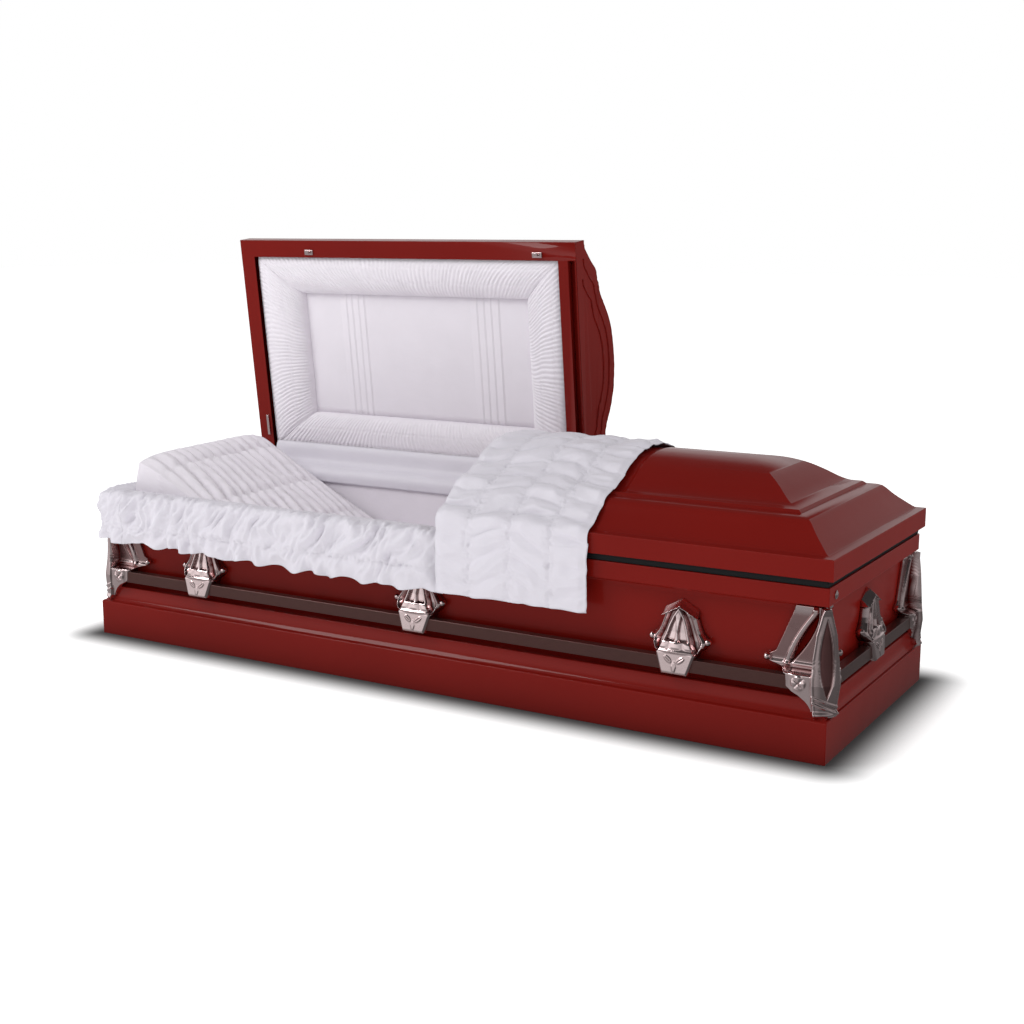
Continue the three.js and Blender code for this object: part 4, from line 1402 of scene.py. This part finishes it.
class CASKET_OT_throw(bpy.types.Operator):
    """Drape the smocked throw over the foot lid"""
    bl_idname = "casket.throw"
    bl_label = "Throw"

    def execute(self, context):
        sizes = context.scene.casket_sizes

        def place_between(start, end):
            tucked = start == 0.0

            def place(u, v):
                x = mix(*THROW_SPAN, u)
                run = mix(start, end, v)
                point, left = THROW.at(run / THROW.length)
                lift = max(throw_lift(x, run, sizes), -THROW_DEPTH)
                if tucked:
                    lift -= THROW_DEPTH * ease((run - THROW_CUT) / 0.008)
                y, z = point + left * lift
                wave = 0.002 * drift(run * 30, 5.0) * (crease(u, 0, 0.03) + crease(u, 1, 0.03))
                sag = 0.003 * drift(x * 20, 8.0) * crease(run, 0, 0.03)
                return (x + wave, y, z + sag)
            return place

        def gather(u, v):
            x = mix(*THROW_SPAN, u)
            return min(1.0, 0.08 + crease(min(abs(x - column) for column in COLUMNS), 0, 0.016))
        width = THROW_SPAN[1] - THROW_SPAN[0]
        spans = (("drop", 0.0, THROW_CUT + THROW_TUCK), ("top", THROW_CUT, THROW.length))
        for name, start, end in spans:
            counts = (120, max(8, round((end - start) / THREAD_STEP)))
            made = cloth(f"satin_throw_{name}", counts, (width, end - start), place_between(start, end),
                         gather, finish("drape_satin"), "foot_lid", ["overlay"], SATIN)
            made.modifiers["Solidify"].use_rim = name == "drop"
            if name == "drop":
                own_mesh(made)
        return {"FINISHED"}


# Stage: places in metres, and the mirrored band's brightness from straight down to straight up
CAMERA_PLACE = (2.0277, -3.3183, 1.1305)
SENSOR_WIDTH = 36.0
FLOOR_SIZE = 30.0
LIGHT_SIZE = 2.0
KEY_PLACE, KEY_AIM = (-2.7, -2.3, 3.4), (-0.2, 0.0, 0.4)
FILL_PLACE, FILL_AIM = (3.6, -1.0, 2.6), (0.4, 0.0, 0.4)
MIRRORED_BAND = ((0.42, 0.32), (0.52, 0.95), (0.64, 0.95), (0.77, 0.10))


class CASKET_OT_stage(bpy.types.Operator):
    """Lay the floor, hang the lights and set the camera"""
    bl_idname = "casket.stage"
    bl_label = "Stage"

    def execute(self, context):
        scene = context.scene
        stage = scene.casket_stage
        scene.view_settings.view_transform = "Standard"
        bm = bmesh.new()
        bmesh.ops.create_grid(bm, x_segments=8, y_segments=8, size=FLOOR_SIZE)
        mesh = bpy.data.meshes.new("floor")
        bm.to_mesh(mesh)
        bm.free()
        floor = bpy.data.objects.new("floor", mesh)
        scene.collection.objects.link(floor)
        mesh.materials.append(floor_finish(scene.casket_colours))
        floor.visible_glossy = False
        self.sky(scene)
        self.light("key", stage.key, KEY_PLACE, KEY_AIM, True)
        self.light("fill", stage.fill, FILL_PLACE, FILL_AIM, False)
        data = bpy.data.cameras.new("camera")
        data.lens = stage.lens
        data.sensor_width = SENSOR_WIDTH
        camera = bpy.data.objects.new("camera", data)
        camera.location = CAMERA_PLACE
        camera.rotation_euler = (math.pi / 2 - stage.pitch, 0, stage.yaw)
        scene.collection.objects.link(camera)
        scene.camera = camera
        return {"FINISHED"}

    def light(self, name, power, place, target, mirrored):
        data = bpy.data.lights.new(name, "AREA")
        data.energy = power
        data.size = LIGHT_SIZE
        made = bpy.data.objects.new(name, data)
        made.location = place
        aim = Vector(target) - Vector(place)
        made.rotation_euler = aim.to_track_quat("-Z", "Y").to_euler()
        made.visible_glossy = mirrored
        bpy.context.scene.collection.objects.link(made)

    def sky(self, scene):
        """White to the camera, soft light from above, and a bright band at eye level for the gloss."""
        scene.world = bpy.data.worlds.new("studio")
        scene.world.use_nodes = True
        made = Nodes(scene.world.node_tree)
        backdrop = made.tree.nodes["Background"]
        backdrop.inputs["Color"].default_value = (1, 1, 1, 1)
        where = made.node("ShaderNodeTexCoord", output="Generated")
        across, height = (
            made.node("ShaderNodeSeparateXYZ", inputs={0: where}, output=axis) for axis in "XZ"
        )
        soft = made.remap(height, (-0.1, 0.35), (0.36, 0.56))
        level = made.remap(height, (-1.0, 1.0), (0.0, 1.0))
        band = made.node("ShaderNodeValToRGB", {"stops": MIRRORED_BAND}, {0: level})
        mirrored = band * made.remap(across, (-0.55, 0.5), (1.0, 0.28))
        by_gloss = made.node("ShaderNodeLightPath", output="Is Glossy Ray")
        by_camera = made.node("ShaderNodeLightPath", output="Is Camera Ray")
        lit = made.node("ShaderNodeMix", inputs={0: by_gloss, 2: soft, 3: mirrored})
        seen = made.node("ShaderNodeMix", inputs={0: by_camera, 2: lit, 3: 1.0})
        made.feed(backdrop.inputs["Strength"], seen)


class CASKET_PT_panel(bpy.types.Panel):
    """Lists the casket's pieces"""
    bl_idname = "CASKET_PT_panel"
    bl_label = "Casket"
    bl_space_type = "VIEW_3D"
    bl_region_type = "UI"
    bl_category = "Casket"

    def draw(self, context):
        for operator in OPERATORS:
            self.layout.operator(operator.bl_idname)
        for group in ("casket_colours", "casket_sizes", "casket_stage"):
            settings = getattr(context.scene, group)
            for key in settings.bl_rna.properties.keys():
                if key not in {"rna_type", "name"}:
                    self.layout.prop(settings, key)


OPERATORS = (
    CASKET_OT_stage, CASKET_OT_base, CASKET_OT_body, CASKET_OT_lids, CASKET_OT_fittings, CASKET_OT_lugs,
    CASKET_OT_corners, CASKET_OT_bed, CASKET_OT_pillow, CASKET_OT_apron, CASKET_OT_hinge_cloth,
    CASKET_OT_lid_lining, CASKET_OT_throw,
)
GROUPS = {"casket_colours": CasketColours, "casket_sizes": CasketSizes, "casket_stage": CasketStage}


def register():
    for cls in (*GROUPS.values(), *OPERATORS, CASKET_PT_panel):
        bpy.utils.register_class(cls)
    for name, group in GROUPS.items():
        setattr(bpy.types.Scene, name, PointerProperty(type=group))


def unregister():
    for name in GROUPS:
        delattr(bpy.types.Scene, name)
    for cls in reversed((*GROUPS.values(), *OPERATORS, CASKET_PT_panel)):
        bpy.utils.unregister_class(cls)


def main():
    """Make every piece."""
    register()
    for operator in OPERATORS:
        group, name = operator.bl_idname.split(".")
        getattr(getattr(bpy.ops, group), name)()


if __name__ == "__main__":
    main()
